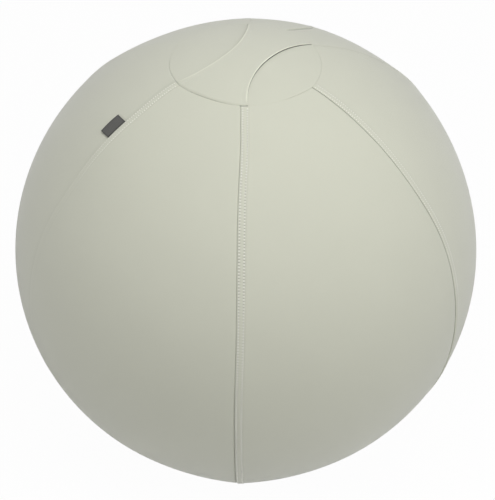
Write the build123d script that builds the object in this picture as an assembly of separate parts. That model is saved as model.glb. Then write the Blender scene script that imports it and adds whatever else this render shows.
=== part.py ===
from build123d import *
import os
from math import asin, atan2, cos, degrees, hypot, radians, sin, sqrt

os.makedirs("parts", exist_ok=True)

# Cover, in millimetres and degrees
ball_radius = 325.0         # ball's centre to the middle of a gore
corner_offset = 42.0        # a gore's own axis lies this far behind the ball's, which makes the seams corners
gore_count = 6
fabric_t = 1.6
seam_gap = 0.1
crown_radius = 94.7         # crown seam at the middle of a gore
allowance_depth = 9.0       # reach of the folded seam edges inside the cover
allowance_setback = 8.0     # from the crown and the zip to the ends of the folded edges

# Base, with the flat patch that the ball rests on
base_t = 2.0
contact_radius = 60.0
shoulder_radius = 120.0

# Zip tapes, teeth and stops, around the base
zip_radius = 150.0
zip_start = -30.0
zip_end = 150.0
zip_half_opening = 7.0
tape_width = 13.0
tape_t = 0.6
tape_gap = 0.15
tape_overrun = 3.0
tooth_pitch = 4.0
tooth_t = 1.5
tooth_grip = 2.0            # from the zip's centre line back to the tape
tooth_mesh = 0.9            # past the centre line, between the teeth of the other row
tooth_height = 2.4
tooth_seat = 0.03
stop_t = 2.6
stop_width = 3.4
stop_height = 2.8
stop_setback = 1.5

# Zip slider and pull
slider_length = 11.0
slider_flare = 2.4
slider_plate_t = 0.9
slider_corner = 1.2
channel_gap = 0.15
slit_gap = 0.3
lip_t = 0.8
lip_gap = 0.5
lip_length = 6.8
post_tip = 1.3
post_width = 3.0
post_gap = 0.35
slider_stop_gap = 0.4
bail_width = 1.6
bail_bar = 1.2
bail_inside = 4.6
bail_gap = 0.5
pull_length = 24.0
pull_width = 7.0
pull_t = 1.6
pull_corner = 2.1
pull_window_gap = 0.8
pull_grip_length = 5.0
pull_grip_width = 1.6
pull_grip_setback = 5.2

# Carry handle
handle_turn = 60.0          # the band runs towards the middle of the back right gore
handle_waist_left = 20.5
handle_waist_right = 29.0
handle_gap_mid = 2.2
handle_gap_end = 0.4
handle_t_mid = 2.0
handle_t_end = 0.9
handle_end_gap = 0.4
hem_width = 6.0
hem_rise = 0.6

# Side label
label_polar = 34.0          # down from the top of the ball
label_length = 29.0
label_width = 17.5
label_t = 0.9
label_gap = 0.35

# Bladder, valve and ballast
bladder_gap = 0.3
bladder_wall = 1.2
relief_half_width = 6.5
relief_gap = 0.4
pad_inset = 2.0
valve_polar = 135.0
valve_azimuth = 60.0
valve_seat_radius = 12.0
valve_seat_depth = 6.0
valve_seat_proud = 0.3
valve_weld_gap = 0.02
valve_recess_radius = 8.0
valve_recess_depth = 1.2
valve_bore_radius = 4.6
plug_clearance = 0.1
plug_head_gap = 0.4
plug_sunk = 0.1
plug_length = 11.0
plug_wall = 2.2
plug_lead = 1.5
ballast_depth = 13.0
ballast_gap = 0.3

# Derived dimensions
sector = 360.0 / gore_count
half_sector = sector / 2
centre_z = shoulder_radius + sqrt((ball_radius - shoulder_radius) ** 2 - contact_radius ** 2)
centre = Vector(0, 0, centre_z)
ball_top = centre_z + ball_radius
degrees_per_mm = degrees(1 / ball_radius)
crown_polar = degrees(asin(crown_radius / ball_radius))
zip_polar = 180 - degrees(asin(zip_radius / ball_radius))
gore_end_polar = zip_polar - zip_half_opening * degrees_per_mm
tape_mid = ball_radius - max(base_t, fabric_t) - tape_gap - tape_t / 2
tape_outer = tape_mid + tape_t / 2
tape_inner = tape_mid - tape_t / 2
tape_degrees_per_mm = degrees(1 / tape_mid)
bladder_radius = tape_inner - bladder_gap
bladder_offset = ball_radius - bladder_radius
cut_margin = ball_radius / 30


def on_meridian(radius, polar):
    """Point in the XZ plane at a distance from the ball's centre and an angle down from its top."""
    return Vector(radius * sin(radians(polar)), 0, centre_z + radius * cos(radians(polar)))


def shell_section(outer, inner, polar_a, polar_b):
    """Face in the XZ plane between two radii and two angles down from the top."""
    middle = (polar_a + polar_b) / 2
    edges = [
        ThreePointArc(on_meridian(outer, polar_a), on_meridian(outer, middle), on_meridian(outer, polar_b)),
        Line(on_meridian(outer, polar_b), on_meridian(inner, polar_b)),
        ThreePointArc(on_meridian(inner, polar_b), on_meridian(inner, middle), on_meridian(inner, polar_a)),
        Line(on_meridian(inner, polar_a), on_meridian(outer, polar_a)),
    ]
    return Face(Wire(edges))


def ring(outer, inner, polar_a, polar_b, start=0.0, sweep=360.0):
    """Band around the ball's own axis, from one azimuth through a sweep."""
    section = shell_section(outer, inner, polar_a, polar_b).rotate(Axis.Z, start)
    return revolve(section, Axis.Z, sweep)


def gore_band(outer, inner, polar_a, polar_b):
    """Band around a gore's own axis, wide enough for its sector."""
    axis = Axis((-corner_offset, 0, 0), (0, 0, 1))
    section = shell_section(outer, inner, polar_a, polar_b).rotate(axis, -half_sector)
    return revolve(section, axis, sector)


def sector_wedge(shift=0.0):
    """Prism over one gore's sector, its edge on the ball's axis or moved out along the gore."""
    reach = 2 * ball_radius
    x = reach * cos(radians(half_sector))
    y = reach * sin(radians(half_sector))
    outline = Polyline((0, 0), (x, -y), (x, y), close=True)
    prism = extrude(Face(Wire(outline.edges())), 2 * reach, dir=(0, 0, 1))
    return Pos(shift, 0, -reach / 2) * prism


def floor_line(offset, polar):
    """Profile from the axis along the flat, the shoulder and the ball's round, a distance inside them."""
    lean = atan2(contact_radius, centre_z - shoulder_radius)
    shoulder = Vector(contact_radius, 0, shoulder_radius)
    bend = shoulder_radius - offset
    flat_end = Vector(contact_radius, 0, offset)
    bend_middle = shoulder + Vector(sin(lean / 2), 0, -cos(lean / 2)) * bend
    bend_end = shoulder + Vector(sin(lean), 0, -cos(lean)) * bend
    round_middle = on_meridian(ball_radius - offset, (180 - degrees(lean) + polar) / 2)
    return [
        Line((0, 0, offset), flat_end),
        ThreePointArc(flat_end, bend_middle, bend_end),
        ThreePointArc(bend_end, round_middle, on_meridian(ball_radius - offset, polar)),
    ]


def floor_skin(offset, thickness, polar):
    """Skin of revolution along the flat, the shoulder and the round, up to an angle down from the top."""
    outside = floor_line(offset, polar)
    inside = floor_line(offset + thickness, polar)
    foot = Line((0, 0, offset), (0, 0, offset + thickness))
    rim = Line(outside[-1] @ 1, inside[-1] @ 1)
    return revolve(Face(Wire(outside + inside + [foot, rim])), Axis.Z, 360)


def zip_place(azimuth, across=0.0):
    """Frame on the zip: x along it, y towards the gores, z out of the ball."""
    a = radians(azimuth)
    t = radians(zip_polar - across * tape_degrees_per_mm)
    normal = Vector(sin(t) * cos(a), sin(t) * sin(a), cos(t))
    return Plane(origin=centre + normal * tape_mid, x_dir=Vector(-sin(a), cos(a), 0), z_dir=normal)


def along_zip(length):
    """Angle about the ball's axis for a length along the zip."""
    return degrees(length / zip_radius)


# Gores, with their seam edges folded inside
wedge = sector_wedge()
seam_edges = wedge - sector_wedge(fabric_t / sin(radians(half_sector)))
bladder_room = Pos(0, 0, centre_z) * Sphere(bladder_radius + bladder_gap)
fold_start = crown_polar + allowance_setback * degrees_per_mm
fold_end = gore_end_polar - (tape_width + allowance_setback) * degrees_per_mm
folds = gore_band(ball_radius - fabric_t / 2, ball_radius - allowance_depth, fold_start, fold_end)
gore = gore_band(ball_radius, ball_radius - fabric_t, crown_polar, gore_end_polar) & wedge
gore = gore + ((folds & seam_edges) - bladder_room)
gore_names = ["right", "back_right", "back_left", "left", "front_left", "front_right"]
for index, name in enumerate(gore_names):
    export_step(gore.rotate(Axis.Z, index * sector), f"parts/gore_{name}.step")

# Crown, a dome cut to the gores' six upper edges
crown_end = crown_polar - seam_gap * degrees_per_mm
crown_facet = gore_band(ball_radius + cut_margin, ball_radius - cut_margin, 0, crown_end) & wedge
crown_room = crown_facet.fuse(*[crown_facet.rotate(Axis.Z, index * sector) for index in range(1, gore_count)])
crown = ring(ball_radius, ball_radius - fabric_t, 0, 1.5 * crown_polar) & crown_room
export_step(crown, "parts/crown_panel.step")

# Carry handle, a waisted band between two domes, thicker along its two hems
end_arc = corner_offset + crown_radius - handle_end_gap
end_x = crown_radius - handle_end_gap
corner_turn = asin(corner_offset * sin(radians(half_sector)) / end_arc)
corner_reach = end_arc * sin(radians(half_sector) - corner_turn) / sin(radians(half_sector))
corner_x = corner_reach * cos(radians(half_sector))
corner_y = corner_reach * sin(radians(half_sector))
crown_sag = ball_radius - sqrt(ball_radius ** 2 - crown_radius ** 2)


def waisted_prism(inset, overrun):
    """Upright prism over the band's outline, its waisted sides moved in and its ends moved out."""
    side = corner_y - inset
    left = handle_waist_left - inset
    right = handle_waist_right - inset
    x = corner_x + overrun
    end = end_x + overrun
    edges = [
        ThreePointArc((x, side), (0, left), (-x, side)),
        ThreePointArc((-x, side), (-end, 0), (-x, -side)),
        ThreePointArc((-x, -side), (0, -right), (x, -side)),
        ThreePointArc((x, -side), (end, 0), (x, side)),
    ]
    prism = extrude(Face(Wire(edges)), 6 * crown_sag, dir=(0, 0, 1))
    return Pos(0, 0, ball_top - 3 * crown_sag) * prism


def dome(rise_mid, rise_end):
    """Ball whose top stands off the cover by one height in the middle and another at the crown seam."""
    sag = crown_sag + rise_mid - rise_end
    radius = (crown_radius ** 2 + sag ** 2) / (2 * sag)
    return Pos(0, 0, ball_top + rise_mid - radius) * Rot(90, 0, 0) * Sphere(radius)


band_mid = handle_gap_mid + handle_t_mid
band_end = handle_gap_end + handle_t_end
between_hems = waisted_prism(hem_width, hem_width) - dome(band_mid, band_end)
handle = waisted_prism(0, 0) & dome(band_mid + hem_rise, band_end + hem_rise)
handle = handle - dome(handle_gap_mid, handle_gap_end) - between_hems
handle = handle.rotate(Axis.Z, handle_turn)
export_step(handle, "parts/carry_handle.step")

# Side label, lying on the left gore with one long edge at the left front seam
label_half = label_length / 2 * degrees_per_mm
label_low = ball_radius + label_gap
label = gore_band(label_low + label_t, label_low, label_polar - label_half, label_polar + label_half) & wedge
label_strip = Box(2 * ball_radius, label_width, 2 * ball_top)
label_strip = Pos(ball_radius, -label_width / 2, ball_top / 2) * label_strip
label = label & label_strip.rotate(Axis.Z, half_sector)
left_gore = gore_names.index("left") * sector
export_step(label.rotate(Axis.Z, left_gore), "parts/side_label.step")

# Base panel, which reaches the gores only where there is no zip
base_end = gore_end_polar + seam_gap * degrees_per_mm
zip_inner_polar = zip_polar + zip_half_opening * degrees_per_mm
zip_sweep = zip_end - zip_start
base_tab = ring(ball_radius, ball_radius - base_t, base_end, zip_inner_polar, zip_end, 360 - zip_sweep)
base = floor_skin(0, base_t, zip_inner_polar) + base_tab
export_step(base, "parts/base_panel.step")

# Zip tapes, under the edges of the gores and of the base
tape_near = (tooth_grip + tooth_seat) * tape_degrees_per_mm
tape_far = tape_width * tape_degrees_per_mm
tape_start = zip_start - tape_overrun
tape_sweep = zip_sweep + 2 * tape_overrun
tape_a = ring(tape_outer, tape_inner, zip_polar - tape_far, zip_polar - tape_near, tape_start, tape_sweep)
tape_b = ring(tape_outer, tape_inner, zip_polar + tape_near, zip_polar + tape_far, tape_start, tape_sweep)
export_step(tape_a, "parts/zip_tape_outer.step")
export_step(tape_b, "parts/zip_tape_inner.step")

# Zip teeth, two rows half a pitch apart, closed up to the slider's post
end_stop_azimuth = zip_end - along_zip(stop_setback + stop_t / 2)
start_stop_azimuth = zip_start + along_zip(stop_setback + stop_t / 2)
slider_azimuth = end_stop_azimuth - along_zip(stop_t / 2 + slider_stop_gap + slider_length / 2)
last_tooth = slider_azimuth + along_zip(post_tip - post_gap - tooth_t / 2)
tooth_step = along_zip(tooth_pitch)
tooth_run = last_tooth - start_stop_azimuth - along_zip(stop_t / 2 + tooth_t)
tooth_count = int(tooth_run / tooth_step)
tooth = Box(tooth_t, tooth_grip + tooth_mesh, tooth_height)
tooth_across = (tooth_grip - tooth_mesh) / 2
teeth_a = [zip_place(last_tooth - k * tooth_step, tooth_across) * tooth for k in range(tooth_count)]
teeth_b = [zip_place(last_tooth - (k + 0.5) * tooth_step, -tooth_across) * tooth for k in range(tooth_count)]
export_step(Compound(children=teeth_a), "parts/zip_teeth_outer.step")
export_step(Compound(children=teeth_b), "parts/zip_teeth_inner.step")

# Zip stops: a clip on each tape at the closed end, and one across both at the start
tape_slot = Box(2 * stop_t, tape_width, tape_t + 2 * tape_gap)
tape_slot = Pos(0, tape_width / 2 - tooth_seat, 0) * tape_slot
end_stop = Box(stop_t, stop_width, stop_height) - tape_slot
start_stop = Box(stop_t, 2 * tooth_grip + stop_width, stop_height)
start_stop = start_stop - Pos(0, tooth_grip, 0) * tape_slot
start_stop = start_stop - Pos(0, -tooth_grip, 0) * tape_slot.rotate(Axis.Z, 180)
stops = [
    zip_place(end_stop_azimuth, tooth_grip) * end_stop,
    zip_place(end_stop_azimuth, -tooth_grip) * end_stop.rotate(Axis.Z, 180),
    zip_place(start_stop_azimuth) * start_stop,
]
export_step(Compound(children=stops), "parts/zip_stops.step")

# Zip slider: two lipped plates, the post between them at the mouth, and a bail for the pull
half_length = slider_length / 2
channel = tooth_height / 2 + channel_gap
plate_top = channel + slider_plate_t
lip_inside = tooth_grip + lip_gap
tail_half = lip_inside + lip_t
mouth_half = tail_half + slider_flare / 2
flare_x = half_length * 0.6
plate_outline = Polyline(
    (-half_length, -tail_half),
    (0, -tail_half),
    (flare_x, -mouth_half),
    (half_length, -mouth_half),
    (half_length, mouth_half),
    (flare_x, mouth_half),
    (0, tail_half),
    (-half_length, tail_half),
    close=True,
)
plate = extrude(Face(Wire(plate_outline.edges())), slider_plate_t, dir=(0, 0, 1))
ends = plate.edges().filter_by(Axis.Z).group_by(Axis.X)
plate = fillet(ends[0] + ends[-1], slider_corner)
lip_height = channel - tape_t / 2 - slit_gap
lip = Pos(0, 0, -lip_height / 2) * Box(lip_length, lip_t, lip_height)
lip_x = lip_length / 2 - half_length + slider_corner / 4
lip_y = lip_inside + lip_t / 2
upper = Pos(0, 0, channel) * (plate + Pos(lip_x, lip_y, 0) * lip + Pos(lip_x, -lip_y, 0) * lip)
lower = upper.mirror(Plane.XY)
post_end = half_length - slider_corner / 4
post_outline = Polyline((post_tip, 0), (post_end, -post_width / 2), (post_end, post_width / 2), close=True)
post = extrude(Face(Wire(post_outline.edges())), channel, dir=(0, 0, 1), both=True)
bail_opening = pull_t + 2 * bail_gap
bail_height = bail_opening + bail_bar
bail_length = bail_inside + 2 * bail_bar
bail = Pos(0, 0, bail_height / 2) * Box(bail_length, bail_width, bail_height)
bail = bail - Pos(0, 0, bail_opening / 2) * Box(bail_inside, 2 * bail_width, bail_opening)
slider = upper + lower + post + Pos(0, 0, plate_top) * bail
slider_place = zip_place(slider_azimuth)
export_step(slider_place * slider, "parts/zip_slider.step")

# Zip pull, hanging straight out of the bail by the bar at its end
pull_pivot = plate_top + bail_opening / 2
pull_bar = pull_t / 2
bail_corner = hypot(bail_length / 2, bail_height - bail_opening / 2)
window_length = bail_corner + pull_window_gap - pull_bar
window_width = bail_width + 2 * pull_window_gap
pull_face = Pos(0, pull_length / 2 - pull_bar) * RectangleRounded(pull_width, pull_length, pull_corner)
pull_face -= Pos(0, pull_bar + window_length / 2) * RectangleRounded(window_width, window_length, pull_bar)
pull_face -= Pos(0, pull_length - pull_grip_setback) * SlotOverall(pull_grip_length, pull_grip_width)
pull = extrude(Plane.YZ * pull_face, pull_t / 2, both=True)
export_step(slider_place * Pos(0, 0, pull_pivot) * pull, "parts/zip_pull.step")

# Bladder, relieved along the slider's path and standing on a pad at its foot
relief_depth = bladder_radius - (tape_mid - plate_top - relief_gap)
relief_half = relief_half_width * degrees_per_mm
relief_wall_half = (relief_half_width + bladder_wall) * degrees_per_mm
bladder_low = bladder_radius - bladder_wall
relief_wall = ring(
    bladder_radius - bladder_wall / 2, bladder_low - relief_depth,
    zip_polar - relief_wall_half, zip_polar + relief_wall_half,
)
relief = ring(
    bladder_radius + cut_margin, bladder_radius - relief_depth,
    zip_polar - relief_half, zip_polar + relief_half,
)
pad_bottom = base_t + bladder_gap
pad_height = bladder_offset + bladder_wall / 2 - pad_bottom
pad = Pos(0, 0, pad_bottom + pad_height / 2) * Cylinder(contact_radius - pad_inset, pad_height)
bladder = floor_skin(bladder_offset, bladder_wall, 0) + relief_wall - relief + pad

# Valve seat, welded into the bladder above the middle of the zip, and its plug
valve_t = radians(valve_polar)
valve_a = radians(valve_azimuth)
valve_normal = Vector(sin(valve_t) * cos(valve_a), sin(valve_t) * sin(valve_a), cos(valve_t))
valve_place = Plane(
    origin=centre + valve_normal * bladder_radius,
    x_dir=Vector(-sin(valve_a), cos(valve_a), 0),
    z_dir=valve_normal,
)
seat_height = valve_seat_depth + valve_seat_proud
seat_middle = Pos(0, 0, valve_seat_proud - seat_height / 2)
recess_floor = valve_seat_proud - valve_recess_depth
bladder = bladder - valve_place * seat_middle * Cylinder(valve_seat_radius + valve_weld_gap, 2 * seat_height)
export_step(bladder, "parts/bladder.step")
seat = seat_middle * (Cylinder(valve_seat_radius, seat_height) - Cylinder(valve_bore_radius, 2 * seat_height))
seat = seat - Pos(0, 0, valve_seat_proud) * Cylinder(valve_recess_radius, 2 * valve_recess_depth)
export_step(valve_place * seat, "parts/valve_seat.step")
head_t = valve_recess_depth - plug_sunk
shank_radius = valve_bore_radius - plug_clearance
shank = Pos(0, 0, recess_floor - plug_length / 2) * Cylinder(shank_radius, plug_length)
shank = chamfer(shank.edges().filter_by(GeomType.CIRCLE).sort_by(Axis.Z)[0], plug_lead)
plug = shank + Pos(0, 0, recess_floor + head_t / 2) * Cylinder(valve_recess_radius - plug_head_gap, head_t)
hollow = Cylinder(shank_radius - plug_wall, 2 * (plug_length - plug_wall))
plug = plug - Pos(0, 0, recess_floor - plug_length) * hollow
export_step(valve_place * plug, "parts/valve_plug.step")

# Ballast lying in the bottom of the bladder
ballast_offset = bladder_offset + bladder_wall + ballast_gap
ballast_line = floor_line(ballast_offset, 90)
ballast_close = Polyline(ballast_line[-1] @ 1, (0, 0, centre_z), (0, 0, ballast_offset))
ballast = revolve(Face(Wire(ballast_line + ballast_close.edges())), Axis.Z, 360)
ballast = ballast & Pos(0, 0, ballast_offset) * Cylinder(ball_radius, 2 * ballast_depth)
export_step(ballast, "parts/ballast.step")
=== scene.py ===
import math
from functools import partial

import bmesh
import bpy
import numpy as np
from mathutils import Matrix, Vector


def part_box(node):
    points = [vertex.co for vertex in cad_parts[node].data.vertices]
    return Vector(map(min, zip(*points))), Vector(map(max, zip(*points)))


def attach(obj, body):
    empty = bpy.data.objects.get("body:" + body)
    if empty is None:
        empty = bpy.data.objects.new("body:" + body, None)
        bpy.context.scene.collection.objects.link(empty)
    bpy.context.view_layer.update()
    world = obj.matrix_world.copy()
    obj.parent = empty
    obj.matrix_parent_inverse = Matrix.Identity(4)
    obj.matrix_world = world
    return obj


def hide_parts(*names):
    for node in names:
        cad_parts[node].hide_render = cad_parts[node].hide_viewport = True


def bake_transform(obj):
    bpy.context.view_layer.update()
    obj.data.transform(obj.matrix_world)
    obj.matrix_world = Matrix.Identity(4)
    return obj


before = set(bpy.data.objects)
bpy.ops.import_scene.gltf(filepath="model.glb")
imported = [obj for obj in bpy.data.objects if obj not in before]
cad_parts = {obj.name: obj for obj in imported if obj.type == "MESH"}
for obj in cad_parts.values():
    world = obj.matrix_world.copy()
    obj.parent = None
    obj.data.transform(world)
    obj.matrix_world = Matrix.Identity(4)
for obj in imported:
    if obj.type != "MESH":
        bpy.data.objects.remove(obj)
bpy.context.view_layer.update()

bl_info = {
    "name": "Sitting Ball",
    "version": (1, 0, 0),
    "blender": (4, 5, 0),
    "location": "3D View > Sidebar > Sitting Ball",
    "description": "Sews the cover of a sitting ball, with its handle, label, zipped base and studio",
    "category": "Add Mesh",
}

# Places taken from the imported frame, in metres
BALL_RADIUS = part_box("gore_right")[1].x
BALL_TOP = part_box("crown_panel")[1].z
BALL_CENTRE = Vector((0, 0, BALL_TOP - BALL_RADIUS))

# One millimetre, in metres
MM = 0.001

# The cover's layout: gores and seams count anticlockwise, from the right and from the front
GORE_NAMES = ("right", "back_right", "back_left", "left", "front_left", "front_right")
SEAM_NAMES = ("front", "right_front", "right_back", "back", "left_back", "left_front")
SECTOR = math.radians(60)
HALF_SECTOR = SECTOR / 2
FRONT = math.radians(-90)

# How far each seam and each gore stands out when the ball is blown up, as a share and in metres,
# how many degrees down from the top that starts, over how many it grows, and where it fades
SEAM_FULLNESS = (1.35, 0.45, 1.75, -0.1, 0.9, 0.1)
GORE_FULLNESS = (0.0, 0.003, -0.0016, 0.0003, 0.0007, 0.0012)
SEAM_RISE = (36.0, 36.0, 36.0, 22.0, 36.0, 36.0)
GORE_RISE = 22.0
RISE_SPAN = 18
FULLNESS_FADE = (math.radians(130), math.radians(149))
# Where the corners start to fade into the round hem
CORNER_FADE = math.radians(137)

# Where each seam's ditch runs: degrees down from the top, and millimetres from the seam's corner
EVEN_PATH = ((17, -2.0),)
SEAM_PATHS = (
    ((17, -4.2), (28, -2.8), (40, -3.9), (66, -3.0), (92, -4.9)),
    ((17, -2.0), (40, -4.9), (66, 2.0), (90, -0.6)),
    EVEN_PATH,
    EVEN_PATH,
    EVEN_PATH,
    ((17, -6.5), (30, -0.6), (38, -0.2), (45, -1.2), (68, -8.8), (110, -6.0)),
)
# How far the crown seam runs outside its even line, in millimetres at every 30 degrees from the right,
# and where the cloth below it is even again
CROWN_REACH = (2.0, 0.6, 1.0, 0.6, 3.0, 5.5, 4.8, 0.0, -1.6, -1.9, -0.5, 0.1)
CROWN_EVEN = math.radians(36)
# How deep the crown seam is pulled in and how much shade is painted along it, by degrees from the right
CROWN_PULL = (
    (0, 0.3), (27, 0.3), (31, 0.8), (88, 0.8), (92, 0.2), (165, 0.15), (178, 0.55), (203, 0.6), (207, 0.95),
    (216, 0.6), (266, 0.5), (267.5, 3.0), (272.2, 3.0), (272.9, 0.1), (296, 0.1), (310, 0.5), (328, 0.6),
    (332, 0.3), (360, 0.3),
)
# Share of each seam's relief and of the shade painted in its ditch, by degrees down from the top; the back
# seams lie flat where the handle pulls
FLAT_TOP = ((17, 0.15), (32, 0.22), (62, 1.0))
SEAM_DEPTHS = (
    ((17, 0.75), (40, 1.0), (78, 0.9), (90, 1.3)),
    ((17, 0.8), (28, 0.95), (40, 0.6), (70, 0.9), (84, 2.0)),
    FLAT_TOP,
    ((17, 0.15), (30, 0.3), (62, 1.0)),
    FLAT_TOP,
    ((17, 1.2), (26, 1.0), (36, 0.6), (50, 0.35), (60, 0.3)),
)

# The fold that the handle pulls below its back end: degrees down from the top and round from the right,
# where it fades in and out, and the place, half width and size of its parts across it in millimetres
CREASED_GORE = "back_right"
CREASE_PATH = ((18, 59.6), (21, 57.6), (24, 57.0), (27.5, 57.0), (36, 61.8))
CREASE_IN = (17.8, 19.2)
CREASE_OUT = (31, 37)
CREASE_VALLEY = (0.0, 1.6, -0.8)
CREASE_RIDGE = (3.2, 2.6, 1.3)
# The shade painted in the fold's valley: place and half width in millimetres, and how strong it is
CREASE_PAINTED_SHADE = (0.6, 0.8, 1.0)
# Even columns of a gore between its seams, and the closer ones across the fold as shares of its width
GORE_COLUMNS = 30
CREASE_START = 0.39
CREASE_STEP = 0.005
CREASE_COLUMNS = 31
# The step between the crown's rings, their points, and the points of a closed row of stitches
CROWN_STEP = 4.5 * MM
CROWN_COLUMNS = 288
RING_POINTS = 360

# Sections of a gore's sewn edges: distance from the ditch and height in millimetres, and how much shade is
# painted there, standing in for the shadow in the ditch
LIP = (
    (0.35, -1.3, 1.0), (0.08, -0.85, 0.8), (0.0, -0.4, 0.4), (0.11, -0.05, 0.05), (0.3, 0.2, 0.0),
    (0.8, 0.4, 0.0), (1.5, 0.44, 0.0), (1.9, 0.34, 0.0), (2.3, 0.28, 0.0), (2.7, 0.34, 0.0),
    (3.2, 0.46, 0.0), (4.2, 0.52, 0.0), (5.8, 0.52, 0.0), (7.4, 0.46, 0.0), (7.9, 0.34, 0.0),
    (8.3, 0.26, 0.0), (8.7, 0.28, 0.0), (9.2, 0.34, 0.0), (9.8, 0.26, 0.08), (10.3, 0.04, 0.2),
    (10.8, -0.02, 0.1), (11.6, 0.0, 0.0), (12.8, 0.0, 0.0),
)
TUCK = (
    (-6.0, 0.0, 0.0), (-3.4, -0.03, 0.0), (-2.0, -0.1, 0.0), (-1.1, -0.22, 0.0), (-0.6, -0.42, 0.06),
    (-0.32, -0.75, 0.4), (-0.2, -1.1, 0.8), (-0.15, -1.4, 1.0),
)
# A soft painted shade beside the ditch, by seam, and the millimetres over which it starts
SEAM_SOFT = (0.0, 0.0, 0.0, 0.0, 0.0, 0.13)
SOFT_START = (-6.0, -3.4)
# Section of a plain sewn edge: distance from its line and height in millimetres
RIM = (
    (0.06, -0.9), (0.12, -0.55), (0.25, -0.3), (0.5, -0.13), (0.9, -0.04), (1.6, 0.0), (2.5, 0.0),
    (2.9, -0.14), (3.3, -0.14), (3.7, 0.0), (4.6, 0.0),
)
RIM_REACH = [distance * MM for distance, _ in RIM]
RIM_DROP = [height * MM for _, height in RIM]
# Width of a sewn edge's painted shade, the pull that widens it no further, and the deepest cloth and lining
SHADE_WIDTH = 0.45 * MM
SHADE_PULL = 1.4
DEEPEST_FACE = -1.4 * MM
DEEPEST_LINING = -2.6 * MM
# Edges sharper than this stay sharp, and the points of a pole closer than this are one
SHARP_EDGE = math.radians(50)
ONE_POINT = 1e-6

# The handle: its turn from the right and how far it reaches; each edge's narrowest place along the band,
# where its two ends are sewn in, and how its flare bends
HANDLE_TURN = math.radians(60)
HANDLE_REACH = 82.5 * MM
HANDLE_EDGES = {
    "left": {"waist_x": 0.002, "front": (-0.0823, 0.0534, 2.1), "back": (0.0825, 0.051, 1.6)},
    "right": {"waist_x": -0.003, "front": (-0.0823, -0.0523, 2.1), "back": (0.0827, -0.0493, 2.1)},
}
# Its heights: the upper face over the crown, how it drops and settles at the sewn ends and its gap there,
# the lower face over the crown at its hems and ends, its hollow between the hems, and the thinnest cloth
HANDLE_RISE = 1.9 * MM
HANDLE_DROP_SHARE = 0.9
HANDLE_SETTLE = 1.2 * MM
HANDLE_SETTLE_OVER = 2.5 * MM
HANDLE_GAP = 0.1 * MM
HANDLE_LOW_MIDDLE = 0.4 * MM
HANDLE_LOW_END = 0.3 * MM
HANDLE_HOLLOW = 1.4 * MM
HANDLE_HOLLOW_OVER = (4 * MM, 12 * MM)
HANDLE_THIN = 0.8 * MM
# Its mesh: its middle row and the step between rows, as shares of its reach, and columns between the hems
HANDLE_MIDDLE = 1e-6
HANDLE_STEP = 0.03
HANDLE_COLUMNS = 14
# Its hem: distance from its edge and height in millimetres, and how much highlight is painted on it
HEM = (
    (0.0, -0.3, 0.0), (0.08, 0.0, 0.6), (0.3, 0.3, 1.0), (0.7, 0.5, 1.0), (1.2, 0.52, 0.8), (1.8, 0.36, 0.3),
    (2.5, 0.16, 0.0), (3.4, 0.06, 0.0), (5.6, 0.04, 0.0), (6.4, -0.06, 0.0), (6.9, -0.1, 0.0),
    (7.4, -0.06, 0.0), (8.6, 0.0, 0.0),
)
HEM_REACH = [distance * MM for distance, _, _ in HEM]
HEM_RISE = [height * MM for _, height, _ in HEM]
# Share of the highlight painted along the hem
HEM_HIGHLIGHT_SHARE = [rubbed for _, _, rubbed in HEM]
# How strong each hem's painted highlight is and how far from the sewn end that starts, and how much shade is
# painted on the band's edge and underside for the shadow under the band
HEM_HIGHLIGHT = {"left": 0.55, "right": 0.6}
HIGHLIGHT_FROM = (2 * MM, 12 * MM)
EDGE_PAINTED_SHADE = 2.0
UNDERSIDE_PAINTED_SHADE = 1.0
UNDERSIDE_EDGE = 3 * MM

# Rows of stitches beside a seam: distance from the ditch and from the crown seam to the first stitch, where
# they end, the step of their line, and how high they lie on flat cloth and how much higher on full relief
SEAM_ROWS = ((2.3 * MM, 3 * MM), (8.3 * MM, 4.8 * MM))
ROW_END = 3 * MM
ROW_STEP = 0.012
ROW_LEVEL = -0.5 * MM
ROW_LIFT = 0.9 * MM
# One stitch: its length as a share of the pitch, its thickness as a share of its width, and how uneven it is
STITCH_SHARE = 0.64
STITCH_THICK = 0.6
STITCH_LEAST = (0.9, 0.9, 0.9)
STITCH_MOST = (1.06, 1.1, 1.1)
STITCH_SEED = 7
HOLE_SEED = 11
HOLE_SINK = 0.2 * MM
# Rows along the gores' lower hem and the handle's hems: distance from the edge, height, span, step and width
GORE_HEM_ROW = 5 * MM
GORE_HEM_LIFT = 0.2 * MM
HANDLE_ROW = 6.9 * MM
HANDLE_ROW_SINK = 0.2 * MM
HANDLE_ROW_SPAN = (0.004, 0.965)
HANDLE_ROW_STEP = 0.02
HANDLE_THREAD = 0.7

# The label: its angle down its seam, slant, curl and bow of its free edge, how far it reaches past the
# ditch, its bound border, the heights of its two layers, two places across the seam for a bend when turned
# up (worked out, but not used), and its mesh
LABEL_PLACE = math.radians(33.75)
LABEL_SLANT = 3.4 * MM
LABEL_CURL = 2 * MM
LABEL_BOW = 0.3
LABEL_PAST = 0.9 * MM
LABEL_BORDER = (0.4 * MM, 1.7 * MM)
LABEL_UNDER = 0.55 * MM
LABEL_OVER = 1.25 * MM
LABEL_THICK = 0.32 * MM
LABEL_BEND = (0.4 * MM, -2.8 * MM)
LABEL_LEVEL = 0.9 * MM
LABEL_STEP = 1.2 * MM
LABEL_COLUMNS = 14

# The base: degrees round its edge where it steps in beside the zip and out again, its gap and depths, its
# row of stitches and its mesh, and then the grip dots' height, margin, and spacing as shares of their pitch
ZIP_STEP_IN = (329, 332)
ZIP_STEP_OUT = (148, 151)
ZIP_FAR_SIDE = 240
BASE_GAP = 0.2 * MM
BASE_SINK = 0.6 * MM
BASE_LINING = 0.1 * MM
BASE_ROW = 4.5 * MM
BASE_ROW_LEVEL = -0.5 * MM
BASE_STEP = 0.028
BASE_COLUMNS = 180
DOT_RISE = 0.6 * MM
DOT_MARGIN = 9 * MM
DOT_RING_SHARE = 0.88
DOT_STAGGER = 0.37

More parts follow.
